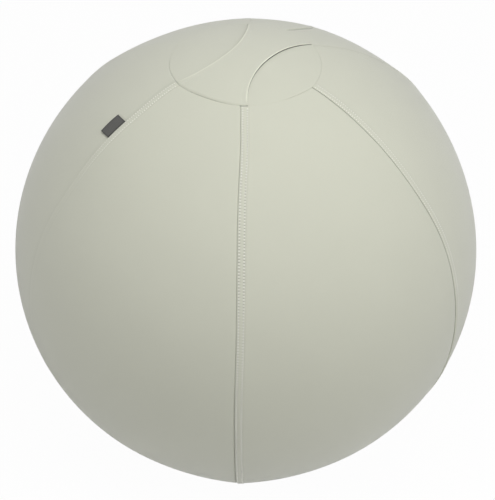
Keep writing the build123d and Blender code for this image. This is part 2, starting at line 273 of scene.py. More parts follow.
# The zip: its two ends and its mesh's step, the tapes' depth under the ball's round, their section from the
# zip's middle in millimetres, and the teeth's number, sizes and places
ZIP_START = math.radians(-30)
ZIP_END = math.radians(150)
TAPE_STEP = 0.02
TAPE_DEPTH = 2.45 * MM
TAPE_OVERRUN = math.radians(3)
TAPE_SECTION = (
    (2.03, 0.3), (2.3, 0.5), (2.8, 0.62), (3.4, 0.5), (3.8, 0.32), (6.0, 0.3), (9.0, 0.3), (13.0, 0.3),
)
TAPE_UNDER = -0.3 * MM
TOOTH_COUNT = 113
TOOTH_THICK = 1.5 * MM
TOOTH_HEIGHT = 2.4 * MM
TOOTH_BLOCK = 2.1 * MM
TOOTH_BLOCK_PLACE = 0.45 * MM
TOOTH_HEAD_PLACE = -0.6 * MM
TOOTH_HEAD_SHARE = 0.6
TOOTH_ACROSS = 0.55 * MM
LAST_TOOTH = 9.8 * MM

# Finishes, each with the setting of its colour first. Knits: width and height of a loop, depth of the loops,
# and how strongly the painted shade darkens the seams
KNITS = {
    "cover_knit": ("cover", 1.1 * MM, 0.9 * MM, 0.06 * MM, 0.45),
    "base_knit": ("base", 1.6 * MM, 1.3 * MM, 0.12 * MM, 0.4),
}
# Twills: width and slant of a rib, depth of the ribs, and sheen
TWILLS = {
    "label_weave": ("label", 0.7 * MM, 0.0, 0.05 * MM, 0.3),
    "tape_weave": ("tape", 1.1 * MM, 1.0, 0.1 * MM, 0.15),
}
# Moulded or spun: roughness, specular level, size and amount of mottling, depth and fineness of the grain
MOULDED = {
    "thread": ("thread", 0.7, 0.3, 900.0, 0.1, 0.00003, 4000.0),
    # The needle holes are dark beads of painted shade
    "needle_hole": ("hole", 0.9, 0.5, 900.0, 0.2, 0.00003, 4000.0),
    "grip_rubber": ("grip", 0.62, 0.4, 300.0, 0.2, 0.00004, 2500.0),
    "teeth_plastic": ("teeth", 0.42, 0.5, 500.0, 0.12, 0.00002, 3000.0),
    "bladder_vinyl": ("bladder", 0.46, 0.5, 9.0, 0.08, 0.00005, 420.0),
    "valve_plastic": ("valve", 0.4, 0.5, 260.0, 0.06, 0.00002, 2600.0),
    "ballast_sand": ("ballast", 0.95, 0.5, 900.0, 0.7, 0.0004, 1500.0),
}
METALS = {"zip_metal": ("metal",)}

# Soft square lamps: the setting of their power, their width and their place in metres
LAMPS = (
    ("top", 2.0, (0.2, -0.3, 2.6)),
    ("right", 1.5, (1.5, -1.3, 1.8)),
    ("left", 1.5, (-1.5, -1.3, 1.8)),
    ("low_left", 1.5, (-2.2, -0.6, 0.8)),
    ("back", 1.5, (0.3, 1.9, 1.6)),
)
# The floor's colours, how much of its white is its own glow, its half width, and the camera's film and shift
WHITE = (1, 1, 1, 1)
FLOOR_GREY = (0.82, 0.82, 0.82, 1)
FLOOR_GLOW = 0.97
FLOOR_HALF = 20.0
SENSOR_WIDTH = 36.0
CAMERA_SHIFT = (0.00314, -0.00184)


def smooth_step(low, high, value):
    """0 below low, 1 above high, and smooth between them."""
    t = min(max((value - low) / (high - low), 0.0), 1.0)
    return t * t * (3 - 2 * t)


def eased(nodes, value):
    """Value of a line through (place, value) nodes, level at each node and beyond the last ones."""
    if value <= nodes[0][0]:
        return nodes[0][1]
    for (low, first), (high, second) in zip(nodes, nodes[1:]):
        if value <= high:
            return first + (second - first) * smooth_step(low, high, value)
    return nodes[-1][1]


def hump(across, place, width, size):
    """A rounded ridge or hollow, at a distance across it."""
    return size * math.exp(-(((across - place) / width) ** 2))


def spaced(low, high, step):
    """Numbers from low to high, at most a step apart."""
    count = max(1, math.ceil((high - low) / step))
    return [low + (high - low) * i / count for i in range(count + 1)]


def ring_turns(count):
    """Even turns round a ring, in radians."""
    return [i * math.tau / count for i in range(count)]


def ditch(seam, polar):
    """Distance of a seam's ditch from its corner, in metres."""
    return MM * eased(SEAM_PATHS[seam], math.degrees(polar))


def seam_relief(seam, polar):
    """Share of a seam's relief and of its painted shade at an angle down from the top."""
    return eased(SEAM_DEPTHS[seam], math.degrees(polar))


def sewn_depth(azimuth):
    """Share of the crown seam's depth and painted shade: full where the handle is sewn in, and less between.
    """
    return eased(CROWN_PULL, math.degrees(azimuth) % 360)


def edge_drop(distance):
    """Height of a sewn edge at a distance from its line, both in metres."""
    return float(np.interp(distance, RIM_REACH, RIM_DROP))


def edge_shade(distance, pull=1.0):
    """Painted shade of a sewn edge at a distance from its line; a tighter pull paints it darker and wider.
    """
    return pull * max(0.0, 1 - distance / (SHADE_WIDTH * min(pull, SHADE_PULL)))


def length(name, description, default):
    """A size that a user can change, in metres."""
    return bpy.props.FloatProperty(
        name=name, description=description, default=default, precision=5, subtype="DISTANCE", unit="LENGTH"
    )


def angle(name, description, degrees):
    """An angle that a user can change."""
    return bpy.props.FloatProperty(
        name=name, description=description, default=math.radians(degrees), subtype="ANGLE", unit="ROTATION"
    )


def power(name, description, default):
    """A lamp's power that a user can change."""
    return bpy.props.FloatProperty(name=name, description=description, default=default, unit="POWER")


def colour(name, description, default):
    """A colour that a user can change, in linear light."""
    return bpy.props.FloatVectorProperty(
        name=name, description=description, default=default, size=3, min=0.0, max=1.0, subtype="COLOR"
    )


class BallSizes(bpy.types.PropertyGroup):
    """Sizes of the sewn cover, its zip and its stitches."""

    ball_radius: length("Ball Radius", "From the ball's centre to the middle of a gore", BALL_RADIUS)
    corner_offset: length("Corner Offset", "How far a gore's own axis lies behind the ball's", 0.042)
    corner_round: length("Corner Round", "Softness of the corner along a seam", 0.003)
    crown_radius: length("Crown Radius", "Crown seam at the middle of a gore", 0.0947)
    fabric: length("Fabric", "Depth of the cover's inner face", 0.0019)
    row_step: length("Row Step", "Distance between the rows of a gore's mesh", 0.004)
    stitch_pitch: length("Stitch Pitch", "From one stitch to the next", 0.0033)
    stitch_width: length("Stitch Width", "Width of one stitch", 0.0011)
    hole_width: length("Hole Width", "Width of the needle holes between the stitches", 0.0007)
    front_pitch: length("Front Pitch", "From one stitch of the bolder front seam to the next", 0.0038)
    front_width: length("Front Width", "Width of one stitch of the front seam", 0.002)
    front_hole: length("Front Hole", "Width of the front seam's needle holes", 0.0014)
    handle_waist_left: length("Handle Waist Left", "From the band's middle line to its left edge", 0.0222)
    handle_waist_right: length("Handle Waist Right", "From the band's middle line to its right edge", 0.0291)
    label_length: length("Label Length", "Along the seam", 0.0295)
    label_width: length("Label Width", "From the seam to the fold", 0.0182)
    contact_radius: length("Contact Radius", "Flat patch that the ball rests on", 0.06)
    shoulder_radius: length("Shoulder Radius", "Bend from the flat patch to the ball's round", 0.12)
    zip_radius: length("Zip Radius", "Circle of the zip around the ball's axis", 0.15)
    zip_half_opening: length("Zip Half Opening", "From the zip's middle to the cloth beside it", 0.007)
    tooth_pitch: length("Tooth Pitch", "From one tooth of a row to the next", 0.004)
    dot_pitch: length("Dot Pitch", "From one grip dot to the next", 0.007)
    dot_radius: length("Dot Radius", "Half the width of a grip dot", 0.0019)


class BallFinishes(bpy.types.PropertyGroup):
    """Colours of the cloth, threads, plastics and metal, and the painted shade of the needle holes."""

    cover: colour("Cover", "Knitted cover", (0.685, 0.694, 0.58))
    thread: colour("Thread", "Topstitching", (0.97, 0.97, 0.9))
    # Dark colour of the beads between the stitches: painted shade standing in for the needle holes
    hole: colour("Needle Hole", "Shaded holes between the stitches", (0.19, 0.19, 0.16))
    label: colour("Label", "Woven label", (0.115, 0.115, 0.108))
    base: colour("Base", "Knit of the base", (0.235, 0.235, 0.21))
    grip: colour("Grip", "Rubber dots under the base", (0.12, 0.12, 0.11))
    tape: colour("Tape", "Zip tape", (0.45, 0.45, 0.4))
    teeth: colour("Teeth", "Zip teeth", (0.35, 0.35, 0.31))
    metal: colour("Metal", "Zip slider, pull and stops", (0.56, 0.55, 0.53))
    bladder: colour("Bladder", "Inflated ball inside", (0.34, 0.35, 0.36))
    valve: colour("Valve", "Valve seat and plug", (0.72, 0.72, 0.69))
    ballast: colour("Ballast", "Sand in the bottom of the ball", (0.5, 0.4, 0.24))


class BallStudio(bpy.types.PropertyGroup):
    """Camera and light."""

    distance: length("Camera Distance", "From the ball's centre", 1.9762)
    azimuth: angle("Camera Azimuth", "To the right of straight in front", 1.523)
    elevation: angle("Camera Elevation", "Above the floor", 40.126)
    roll: angle("Camera Roll", "About the line of sight", 0.179)
    lens: bpy.props.FloatProperty(name="Lens", description="Focal length", default=99.49, unit="CAMERA")
    top: power("Top", "Wide soft lamp overhead", 26.7)
    right: power("Right", "Soft lamp at the upper right", 19.2)
    left: power("Left", "Weaker soft lamp at the upper left", 5.3)
    low_left: power("Low Left", "Soft lamp low on the left, which lightens the rim", 7.1)
    back: power("Back", "Soft lamp behind the ball", 4.2)
    sky: bpy.props.FloatProperty(name="Sky", description="Light from all round", default=0.13)


class CoverForm:
    """The outside of the blown-up cover."""

    def __init__(self, sizes):
        self.radius = sizes.ball_radius
        self.offset = sizes.corner_offset
        self.corner_round = sizes.corner_round
        self.centre = Vector((0, 0, BALL_TOP - sizes.ball_radius))
        self.crown_polar = math.asin(sizes.crown_radius / sizes.ball_radius)
        self.zip_polar = math.pi - math.asin(sizes.zip_radius / sizes.ball_radius)
        self.gore_end = self.zip_polar - sizes.zip_half_opening / sizes.ball_radius
        self.zip_inner = self.zip_polar + sizes.zip_half_opening / sizes.ball_radius

    def outward(self, azimuth, polar):
        """Direction out of the ball."""
        flat = math.sin(polar)
        return Vector((flat * math.cos(azimuth), flat * math.sin(azimuth), math.cos(polar)))

    def corner(self, ring, turn):
        """How far the cover stands outside its round, at a turn from the middle of a gore."""
        edge = HALF_SECTOR - abs(turn)
        soft = math.hypot(edge, self.corner_round / max(ring, 4 * self.corner_round))
        bend = max(HALF_SECTOR - soft, 0.0)
        reach = math.sqrt((self.offset + ring) ** 2 - (self.offset * math.sin(bend)) ** 2)
        return reach - self.offset * math.cos(bend) - ring

    def swell(self, polar, rise):
        """Share of the irregular fullness, which fades out towards the crown and the base."""
        grown = smooth_step(math.radians(rise), math.radians(rise + RISE_SPAN), polar)
        return grown * (1 - smooth_step(*FULLNESS_FADE, polar))

    def point(self, azimuth, polar, lift=0.0, corner_share=1.0):
        """Point on the cover, lifted off it by a height."""
        gore = round(azimuth / SECTOR)
        turn = azimuth - gore * SECTOR
        seam = (gore + (2 if turn > 0 else 1)) % len(SEAM_NAMES)
        ring = self.radius * math.sin(polar)
        hemmed = smooth_step(CORNER_FADE, self.gore_end, polar)
        excess = self.corner(ring, turn) * corner_share * (1 - hemmed)
        middle = 1 - (turn / HALF_SECTOR) ** 2
        extra = (SEAM_FULLNESS[seam] - 1) * excess * self.swell(polar, SEAM_RISE[seam])
        extra += GORE_FULLNESS[gore % len(GORE_NAMES)] * middle * self.swell(polar, GORE_RISE)
        flat = Vector((math.cos(azimuth), math.sin(azimuth), 0)) * (ring + excess)
        height = Vector((0, 0, self.radius * math.cos(polar)))
        return self.centre + flat + height + self.outward(azimuth, polar) * (extra + lift)

    def seam_turn(self, seam, polar, across):
        """Azimuth at a distance from a seam's ditch, measured along the cloth."""
        ring = self.radius * math.sin(polar)
        reach = ring + self.corner(ring, HALF_SECTOR)
        return FRONT + seam * SECTOR + (ditch(seam, polar) + across) / reach

    def bent(self, azimuth, polar):
        """Polar angle of a cloth point, whose rows follow the uneven crown seam."""
        if polar < self.crown_polar:
            near = (polar / self.crown_polar) ** 2
        else:
            near = 1 - smooth_step(self.crown_polar, CROWN_EVEN, polar)
        nodes = [(30 * i, reach) for i, reach in enumerate((*CROWN_REACH, CROWN_REACH[0]))]
        return polar + near * MM * eased(nodes, math.degrees(azimuth) % 360) / self.radius

    def rim_radius(self, azimuth):
        """Distance of the crown seam from the ball's axis."""
        place = self.point(azimuth, self.bent(azimuth, self.crown_polar))
        return math.hypot(place.x, place.y)


def link_piece(name, mesh):
    """A new piece of the object, at the origin."""
    piece = bpy.data.objects.new(name, mesh)
    bpy.context.scene.collection.objects.link(piece)
    return piece


def paint(piece, material):
    """Gives a piece its one material."""
    piece.data.materials.clear()
    piece.data.materials.append(material)


def shell(name, rows, wrap=False, pole=False):
    """Closed sheet of cloth from rows of spots: outer and inner point, UV in metres, and each face's
    darkening: painted shade and painted highlight, and on the label its dark bound border.

    wrap joins the last column to the first, and pole lets the first row meet in one point.
    """
    columns = len(rows[0])
    count = len(rows) * columns
    last = len(rows) - 1
    steps = columns if wrap else columns - 1
    outer, inner, uv, shade, under = zip(*(spot for row in rows for spot in row))
    faces = []
    for j in range(last):
        for i in range(steps):
            a, b = j * columns + i, j * columns + (i + 1) % columns
            c, d = a + columns, b + columns
            faces.append((a, b, d, c))
            faces.append((count + a, count + c, count + d, count + b))
    for j in (last,) if pole else (0, last):
        for i in range(steps):
            a, b = j * columns + i, j * columns + (i + 1) % columns
            faces.append((a, count + a, count + b, b) if j == 0 else (a, b, count + b, count + a))
    for i in () if wrap else (0, columns - 1):
        for j in range(last):
            a, c = j * columns + i, (j + 1) * columns + i
            faces.append((a, c, count + c, count + a) if i == 0 else (a, count + a, count + c, c))
    mesh = bpy.data.meshes.new(name)
    mesh.from_pydata([tuple(point) for point in outer + inner], [], faces)
    corners = np.empty(len(mesh.loops), np.int32)
    mesh.loops.foreach_get("vertex_index", corners)
    places = np.array(uv * 2, np.float32)[corners]
    mesh.uv_layers.new(name="cloth").data.foreach_set("uv", places.ravel())
    # Painted shade and highlight, and the label's bound border, kept on the points
    shades = np.array(shade + under, np.float32)
    mesh.attributes.new("seam_shade", "FLOAT", "POINT").data.foreach_set("value", shades)
    tidy_shell(mesh, pole)
    return link_piece(name, mesh)


def tidy_shell(mesh, pole):
    """Merges the points of a pole, turns the faces outwards and smooths all but the sharp edges."""
    bm = bmesh.new()
    bm.from_mesh(mesh)
    if pole:
        bmesh.ops.remove_doubles(bm, verts=bm.verts, dist=ONE_POINT)
    if bm.calc_volume(signed=True) < 0:
        bmesh.ops.reverse_faces(bm, faces=bm.faces)
    bm.to_mesh(mesh)
    bm.free()
    mesh.shade_smooth()
    mesh.set_sharp_from_angle(angle=SHARP_EDGE)
    mesh.validate()


# Nodes of the materials and of the trees


def feed(tree, socket, value):
    """Links a socket to another one or to a node's first output, or sets its value."""
    if isinstance(value, bpy.types.Node):
        value = value.outputs[0]
    if isinstance(value, bpy.types.NodeSocket):
        tree.links.new(value, socket)
    else:
        socket.default_value = value


def add_node(tree, kind, inputs=(), **settings):
    """A node with its settings, and with its inputs fed by name or number."""
    node = tree.nodes.new(kind)
    for title, value in settings.items():
        setattr(node, title, value)
    for title, value in dict(inputs).items():
        feed(tree, node.inputs[title], value)
    return node


def math_node(tree, operation, *values):
    """Output of a Math node fed by sockets or numbers."""
    return add_node(tree, "ShaderNodeMath", enumerate(values), operation=operation).outputs[0]


def noise_node(tree, vector, scale, detail=2.0):
    """Noise over a vector, from 0 to 1."""
    inputs = {"Vector": vector, "Scale": scale, "Detail": detail}
    return add_node(tree, "ShaderNodeTexNoise", inputs).outputs["Fac"]


def new_group(make, kind, inputs, outputs):
    """A node group named after its maker, its inputs' sockets and its outputs' sockets."""
    group = bpy.data.node_groups.new(make.__name__, kind)
    for way, sockets in (("INPUT", inputs), ("OUTPUT", outputs)):
        for title, socket in sockets.items():
            group.interface.new_socket(name=title, in_out=way, socket_type="NodeSocket" + socket)
    return group, group.nodes.new("NodeGroupInput").outputs, group.nodes.new("NodeGroupOutput").inputs


def shared_group(make):
    """A node group, found by its maker's name or made."""
    return bpy.data.node_groups.get(make.__name__) or make()


def knit_loops():
    """Columns of V-shaped loops over a UV map in metres, with a little fluff."""
    group, enter, leave = new_group(
        knit_loops,
        "ShaderNodeTree",
        {"Cloth": "Vector", "Wale": "Float", "Course": "Float", "Fluff": "Float"},
        {"Height": "Float", "Shade": "Float"},
    )
    op = partial(math_node, group)
    place = add_node(group, "ShaderNodeSeparateXYZ", {0: enter["Cloth"]}).outputs
    column = op("FRACT", op("DIVIDE", place["X"], enter["Wale"]))
    side = op("ABSOLUTE", op("SUBTRACT", column, 0.5))
    row = op("DIVIDE", place["Y"], enter["Course"])
    phase = op("MULTIPLY", op("ADD", row, op("MULTIPLY", side, 1.3)), math.tau)
    loop = op("MULTIPLY_ADD", op("SINE", phase), 0.5, 0.5)
    round_leg = op("SUBTRACT", 1.0, op("MULTIPLY", op("MULTIPLY", side, side), 4.0))
    height = op("MULTIPLY", round_leg, op("MULTIPLY_ADD", loop, 0.5, 0.5))
    fluff = op("MULTIPLY", noise_node(group, enter["Cloth"], 1400.0), enter["Fluff"])
    total = op("ADD", height, fluff)
    feed(group, leave["Height"], total)
    feed(group, leave["Shade"], op("MULTIPLY_ADD", total, 0.12, 0.92))
    return group


def twill_ribs():
    """Diagonal ribs of a close woven tape over a UV map in metres."""
    group, enter, leave = new_group(
        twill_ribs,
        "ShaderNodeTree",
        {"Cloth": "Vector", "Rib": "Float", "Slant": "Float"},
        {"Height": "Float", "Shade": "Float"},
    )
    op = partial(math_node, group)
    place = add_node(group, "ShaderNodeSeparateXYZ", {0: enter["Cloth"]}).outputs
    lean = op("MULTIPLY", place["Y"], enter["Slant"])
    run = op("DIVIDE", op("ADD", place["X"], lean), enter["Rib"])
    rib = op("SINE", op("MULTIPLY", run, math.tau))
    weft = op("DIVIDE", place["Y"], enter["Rib"])
    thread = op("SINE", op("MULTIPLY", weft, 2 * math.tau))
    mixed = op("MULTIPLY_ADD", thread, 0.35, rib)
    feed(group, leave["Height"], mixed)
    feed(group, leave["Shade"], op("MULTIPLY_ADD", mixed, 0.06, 0.94))
    return group


def soft_mottle():
    """Soft cloudiness of a surface over Object coordinates."""
    group, enter, leave = new_group(
        soft_mottle,
        "ShaderNodeTree",
        {"Place": "Vector", "Size": "Float", "Amount": "Float"},
        {"Shade": "Float"},
    )
    centred = math_node(group, "SUBTRACT", noise_node(group, enter["Place"], enter["Size"], 3.0), 0.5)
    feed(group, leave["Shade"], math_node(group, "MULTIPLY_ADD", centred, enter["Amount"], 1.0))
    return group


def place_group(tree, make, vector, **values):
    """Outputs of a shared shader group, placed in a material with its own values."""
    return add_node(tree, "ShaderNodeGroup", {0: vector, **values}, node_tree=shared_group(make)).outputs


def new_material(name, roughness, **sockets):
    """A new material's nodes and its Principled shader, whose uniform values sit on its own sockets."""
    material = bpy.data.materials.new(name)
    material.use_nodes = True
    shader = material.node_tree.nodes["Principled BSDF"]
    shader.inputs["Roughness"].default_value = roughness
    for title, value in sockets.items():
        shader.inputs[title.replace("_", " ")].default_value = value
    return material.node_tree, shader


def tint(tree, shader, base, shade):
    """Multiplies a colour by a shade that changes over the surface, into Base Color."""
    inputs = {"Factor": 1.0, "A": (*base, 1.0), "B": shade}
    mix = add_node(tree, "ShaderNodeMix", inputs, data_type="RGBA", blend_type="MULTIPLY")
    feed(tree, shader.inputs["Base Color"], mix.outputs["Result"])


def bump(tree, shader, height, depth):
    """Bump from a height that is worth a depth in metres."""
    inputs = {"Strength": 1.0, "Distance": depth, "Height": height}
    feed(tree, shader.inputs["Normal"], add_node(tree, "ShaderNodeBump", inputs))


def object_vector(tree):
    """Object coordinates."""
    return tree.nodes.new("ShaderNodeTexCoord").outputs["Object"]


def cloth_material(name, base, pattern, cloud, depth, painted_shade_and_border_dark, roughness, **sockets):
    """Cloth with a pattern of loops or ribs and soft cloudiness, darkened by painted shade along its sewn
    edges, lightened by painted highlight on the handle's hems, and darkened along the label's bound border.
    """
    tree, shader = new_material(name, roughness, **sockets)
    make, values = pattern
    uv = add_node(tree, "ShaderNodeUVMap", uv_map="cloth")
    threads = place_group(tree, make, uv, **values)
    mottle = place_group(tree, soft_mottle, object_vector(tree), **cloud)
    shade = math_node(tree, "MULTIPLY", threads["Shade"], mottle["Shade"])
    # Painted shade and highlight from the mesh, with the label's border, scale the colour
    seam = add_node(tree, "ShaderNodeAttribute", attribute_name="seam_shade").outputs["Fac"]
    dark = math_node(tree, "MULTIPLY_ADD", seam, -painted_shade_and_border_dark, 1.0)
    tint(tree, shader, base, math_node(tree, "MULTIPLY", shade, dark))
    bump(tree, shader, threads["Height"], depth)


def knit_material(name, base, wale, course, depth, painted_shade_and_border_dark):
    """Fine knit."""
    pattern = (knit_loops, {"Wale": wale, "Course": course, "Fluff": 0.3})
    cloud = {"Size": 14.0, "Amount": 0.035}
    sheen = {"Specular_IOR_Level": 0.25, "Sheen_Weight": 0.6, "Sheen_Roughness": 0.5}
    cloth_material(name, base, pattern, cloud, depth, painted_shade_and_border_dark, 0.88, **sheen)


def woven_material(name, base, rib, slant, depth, weight):
    """Close twill with a slight sheen."""
    pattern = (twill_ribs, {"Rib": rib, "Slant": slant})
    cloud = {"Size": 160.0, "Amount": 0.12}
    sheen = {"Specular_IOR_Level": 0.3, "Sheen_Weight": weight, "Sheen_Roughness": 0.4}
    cloth_material(name, base, pattern, cloud, depth, 0.6, 0.75, **sheen)


def moulded_material(name, base, roughness, specular, size, amount, depth, grain):
    """Thread, plastic, rubber or sand with mottling and a fine grain."""
    tree, shader = new_material(name, roughness, Specular_IOR_Level=specular)
    place = object_vector(tree)
    tint(tree, shader, base, place_group(tree, soft_mottle, place, Size=size, Amount=amount)["Shade"])
    bump(tree, shader, noise_node(tree, place, grain, 4.0), depth)


def metal_material(name, base):
    """Tumbled zinc, brighter where it is rubbed."""
    tree, shader = new_material(name, 0.34, Metallic=1.0)
    place = object_vector(tree)
    tint(tree, shader, base, place_group(tree, soft_mottle, place, Size=420.0, Amount=0.2)["Shade"])
    rough = math_node(tree, "MULTIPLY_ADD", noise_node(tree, place, 900.0, 3.0), 0.22, 0.24)
    feed(tree, shader.inputs["Roughness"], rough)
    bump(tree, shader, noise_node(tree, place, 2600.0, 3.0), 0.00002)


def material_for(name, finishes):
    """A material of the tables of finishes, found by its name or made."""
    for table, make in (
        (KNITS, knit_material),
        (TWILLS, woven_material),
        (MOULDED, moulded_material),
        (METALS, metal_material),
    ):
        if name in table and name not in bpy.data.materials:
            setting, *values = table[name]
            make(name, getattr(finishes, setting), *values)
    return bpy.data.materials[name]


def geometry_tree(make, **inputs):
    """A Geometry Nodes tree over a guide, with named inputs and a material."""
    sockets = {"Geometry": "Geometry", **inputs, "Material": "Material"}
    tree, enter, leave = new_group(make, "GeometryNodeTree", sockets, {"Geometry": "Geometry"})
    tree.is_modifier = True
    return tree, enter, leave


def scatter(tree, enter, leave, points, instance, along, **inputs):
    """Sets copies on points, z along the stored outward direction and x along a vector, as one mesh."""
    align = "FunctionNodeAlignRotationToVector"
    name = {"Name": "outward"}
    outward = add_node(tree, "GeometryNodeInputNamedAttribute", name, data_type="FLOAT_VECTOR")
    upright = add_node(tree, align, {"Vector": outward.outputs["Attribute"]}, axis="Z")
    facing = add_node(tree, align, {"Rotation": upright, "Vector": along}, axis="X", pivot_axis="Z")
    inputs.update(Points=points, Instance=instance, Rotation=facing)
    placed = add_node(tree, "GeometryNodeInstanceOnPoints", inputs)
    real = add_node(tree, "GeometryNodeRealizeInstances", {"Geometry": placed})
    painted = {"Geometry": real, "Material": enter["Material"]}
    feed(tree, leave["Geometry"], add_node(tree, "GeometryNodeSetMaterial", painted))


def round_bead(tree, segments, rings, radius, x, y, z):
    """A smooth round bead of three widths."""
    shape = {"Segments": segments, "Rings": rings, "Radius": radius}
    bead = add_node(tree, "GeometryNodeMeshUVSphere", shape)
    smooth = add_node(tree, "GeometryNodeSetShadeSmooth", {"Geometry": bead})
    size = add_node(tree, "ShaderNodeCombineXYZ", {"X": x, "Y": y, "Z": z})
    return add_node(tree, "GeometryNodeTransform", {"Geometry": smooth, "Scale": size})


def stitch_tree():
    """Stitches of thread along sewn lines, a pitch apart and slightly uneven."""
    tree, enter, leave = geometry_tree(
        stitch_tree, Pitch="Float", Length="Float", Width="Float", Shift="Float", Seed="Int"
    )
    curve = add_node(tree, "GeometryNodeMeshToCurve", {"Mesh": enter["Geometry"]})
    spacing = {"Curve": curve, "Length": enter["Pitch"]}
    points = add_node(tree, "GeometryNodeResampleCurve", spacing, mode="LENGTH")
    thick = math_node(tree, "MULTIPLY", enter["Width"], STITCH_THICK)
    bead = round_bead(tree, 6, 4, 0.5, enter["Length"], enter["Width"], thick)
    tangent = add_node(tree, "GeometryNodeInputTangent")
    step = add_node(tree, "ShaderNodeVectorMath", {0: tangent, "Scale": enter["Shift"]}, operation="SCALE")
    shifted = add_node(tree, "GeometryNodeSetPosition", {"Geometry": points, "Offset": step})
    spread = {"Seed": enter["Seed"], "Min": STITCH_LEAST, "Max": STITCH_MOST}
    uneven = add_node(tree, "FunctionNodeRandomValue", spread, data_type="FLOAT_VECTOR")
    scatter(tree, enter, leave, shifted, bead, tangent, Scale=uneven.outputs["Value"])
    return tree


def tooth_tree():
    """Moulded zip teeth, a block on the tape with a round head, evenly spaced along a line."""
    tree, enter, leave = geometry_tree(tooth_tree, Count="Int", Thickness="Float", Height="Float")
    curve = add_node(tree, "GeometryNodeMeshToCurve", {"Mesh": enter["Geometry"]})
    spacing = {"Curve": curve, "Count": enter["Count"]}
    points = add_node(tree, "GeometryNodeResampleCurve", spacing, mode="COUNT")
    sides = {"X": enter["Thickness"], "Y": TOOTH_BLOCK, "Z": enter["Height"]}
    block = add_node(tree, "GeometryNodeMeshCube", {"Size": add_node(tree, "ShaderNodeCombineXYZ", sides)})
    radius = math_node(tree, "MULTIPLY", enter["Thickness"], TOOTH_HEAD_SHARE)
    round_sizes = {"Radius": radius, "Depth": enter["Height"], "Vertices": 10}
    head = add_node(tree, "GeometryNodeMeshCylinder", round_sizes)
    tooth = add_node(tree, "GeometryNodeJoinGeometry")
    for part, across in ((block, TOOTH_BLOCK_PLACE), (head, TOOTH_HEAD_PLACE)):
        moved = {"Geometry": part, "Translation": (0, across, 0)}
        feed(tree, tooth.inputs["Geometry"], add_node(tree, "GeometryNodeTransform", moved))
    scatter(tree, enter, leave, points, tooth, add_node(tree, "GeometryNodeInputTangent"))
    return tree


def dot_tree():
    """Domed rubber dots on points of a surface."""
    tree, enter, leave = geometry_tree(dot_tree, Radius="Float", Rise="Float")
    bead = round_bead(tree, 10, 5, 1.0, enter["Radius"], enter["Radius"], enter["Rise"])
    scatter(tree, enter, leave, enter["Geometry"], bead, add_node(tree, "ShaderNodeCombineXYZ", {"X": 1.0}))
    return tree


def grow(name, lines, make, closed=False, joined=True, **inputs):
    """Runs a tree over lines of (point, outward) pairs and keeps the result as a plain mesh."""
    points, outward, edges = [], [], []
    for line in lines:
        first = len(points)
        for place, direction in line:
            points.append(tuple(place))
            outward.extend(direction)
        if joined:
            edges += [(first + i, first + i + 1) for i in range(len(line) - 1)]
        if joined and closed:
            edges.append((len(points) - 1, first))
    guide = bpy.data.meshes.new(name + "_guide")
    guide.from_pydata(points, edges, [])
    guide.attributes.new("outward", "FLOAT_VECTOR", "POINT").data.foreach_set("vector", outward)
    piece = link_piece(name, guide)
    modifier = piece.modifiers.new(name, "NODES")
    modifier.node_group = shared_group(make)
    for item in modifier.node_group.interface.items_tree:
        if item.in_out == "INPUT" and item.name in inputs:
            modifier[item.identifier] = inputs[item.name]
    graph = bpy.context.evaluated_depsgraph_get()
    evaluated = piece.evaluated_get(graph)
    grown = bpy.data.meshes.new_from_object(evaluated, preserve_all_data_layers=True, depsgraph=graph)
    if not grown.polygons:
        raise RuntimeError(f"{name}: nothing grew on its lines")
    piece.modifiers.remove(modifier)
    grown.name = name
    piece.data = grown
    bpy.data.meshes.remove(guide)
    return piece


def stitch(name, lines, finishes, pitch, width, closed=False):
    """Topstitching along lines of (point, outward) pairs."""
    thread = material_for("thread", finishes)
    sizes = {"Pitch": pitch, "Length": pitch * STITCH_SHARE, "Width": width, "Shift": 0.0}
    return grow(name, lines, stitch_tree, closed, Seed=STITCH_SEED, Material=thread, **sizes)


def pierce(name, lines, finishes, pitch, width):
    """Dark beads halfway between the stitches along the same lines, painted shade for the needle holes."""
    hole = material_for("needle_hole", finishes)
    sunk = [[(place - out * HOLE_SINK, out) for place, out in line] for line in lines]
    sizes = {"Pitch": pitch, "Length": width, "Width": width, "Shift": pitch / 2}
    return grow(name, sunk, stitch_tree, Seed=HOLE_SEED, Material=hole, **sizes)


# Pieces


def crease(form, azimuth, polar):
    """Height and painted shade of the pulled fold below the handle's back end."""
    down = math.degrees(polar)
    line = math.radians(eased(CREASE_PATH, down))
    across = (azimuth - line) * form.radius * math.sin(polar) / MM
    fade = smooth_step(*CREASE_IN, down) * (1 - smooth_step(*CREASE_OUT, down))
    height = MM * (hump(across, *CREASE_VALLEY) + hump(across, *CREASE_RIDGE))
    return fade * height, fade * hump(across, *CREASE_PAINTED_SHADE)


def gore_rows(form, step):
    """Angles down from the top for the rows of a gore, closer together at its two ends."""
    reach = [distance / form.radius for distance in RIM_REACH]
    top = [form.crown_polar + r for r in reach]
    foot = [form.gore_end - r for r in reversed(reach)]
    return top + spaced(top[-1], foot[0], step / form.radius)[1:-1] + foot


def gore_edge(form, gore, polar, section, side):
    """Columns of a gore's lapped or tucked edge at one row; side is -1 for the first and 1 for the last."""
    seam = (gore + (1 if side < 0 else 2)) % len(SEAM_NAMES)
    base = (gore + side / 2) * SECTOR - (FRONT + seam * SECTOR)
    relief = seam_relief(seam, polar)
    columns = []
    for across, height, dark in section:
        turn = form.seam_turn(seam, polar, across * MM) + base
        # A soft painted shade on the tucked side of the ditch
        soft = SEAM_SOFT[seam] * smooth_step(*SOFT_START, across) if side > 0 else 0.0
        columns.append((turn, height * MM * relief, max(dark, soft) * relief))
    return columns


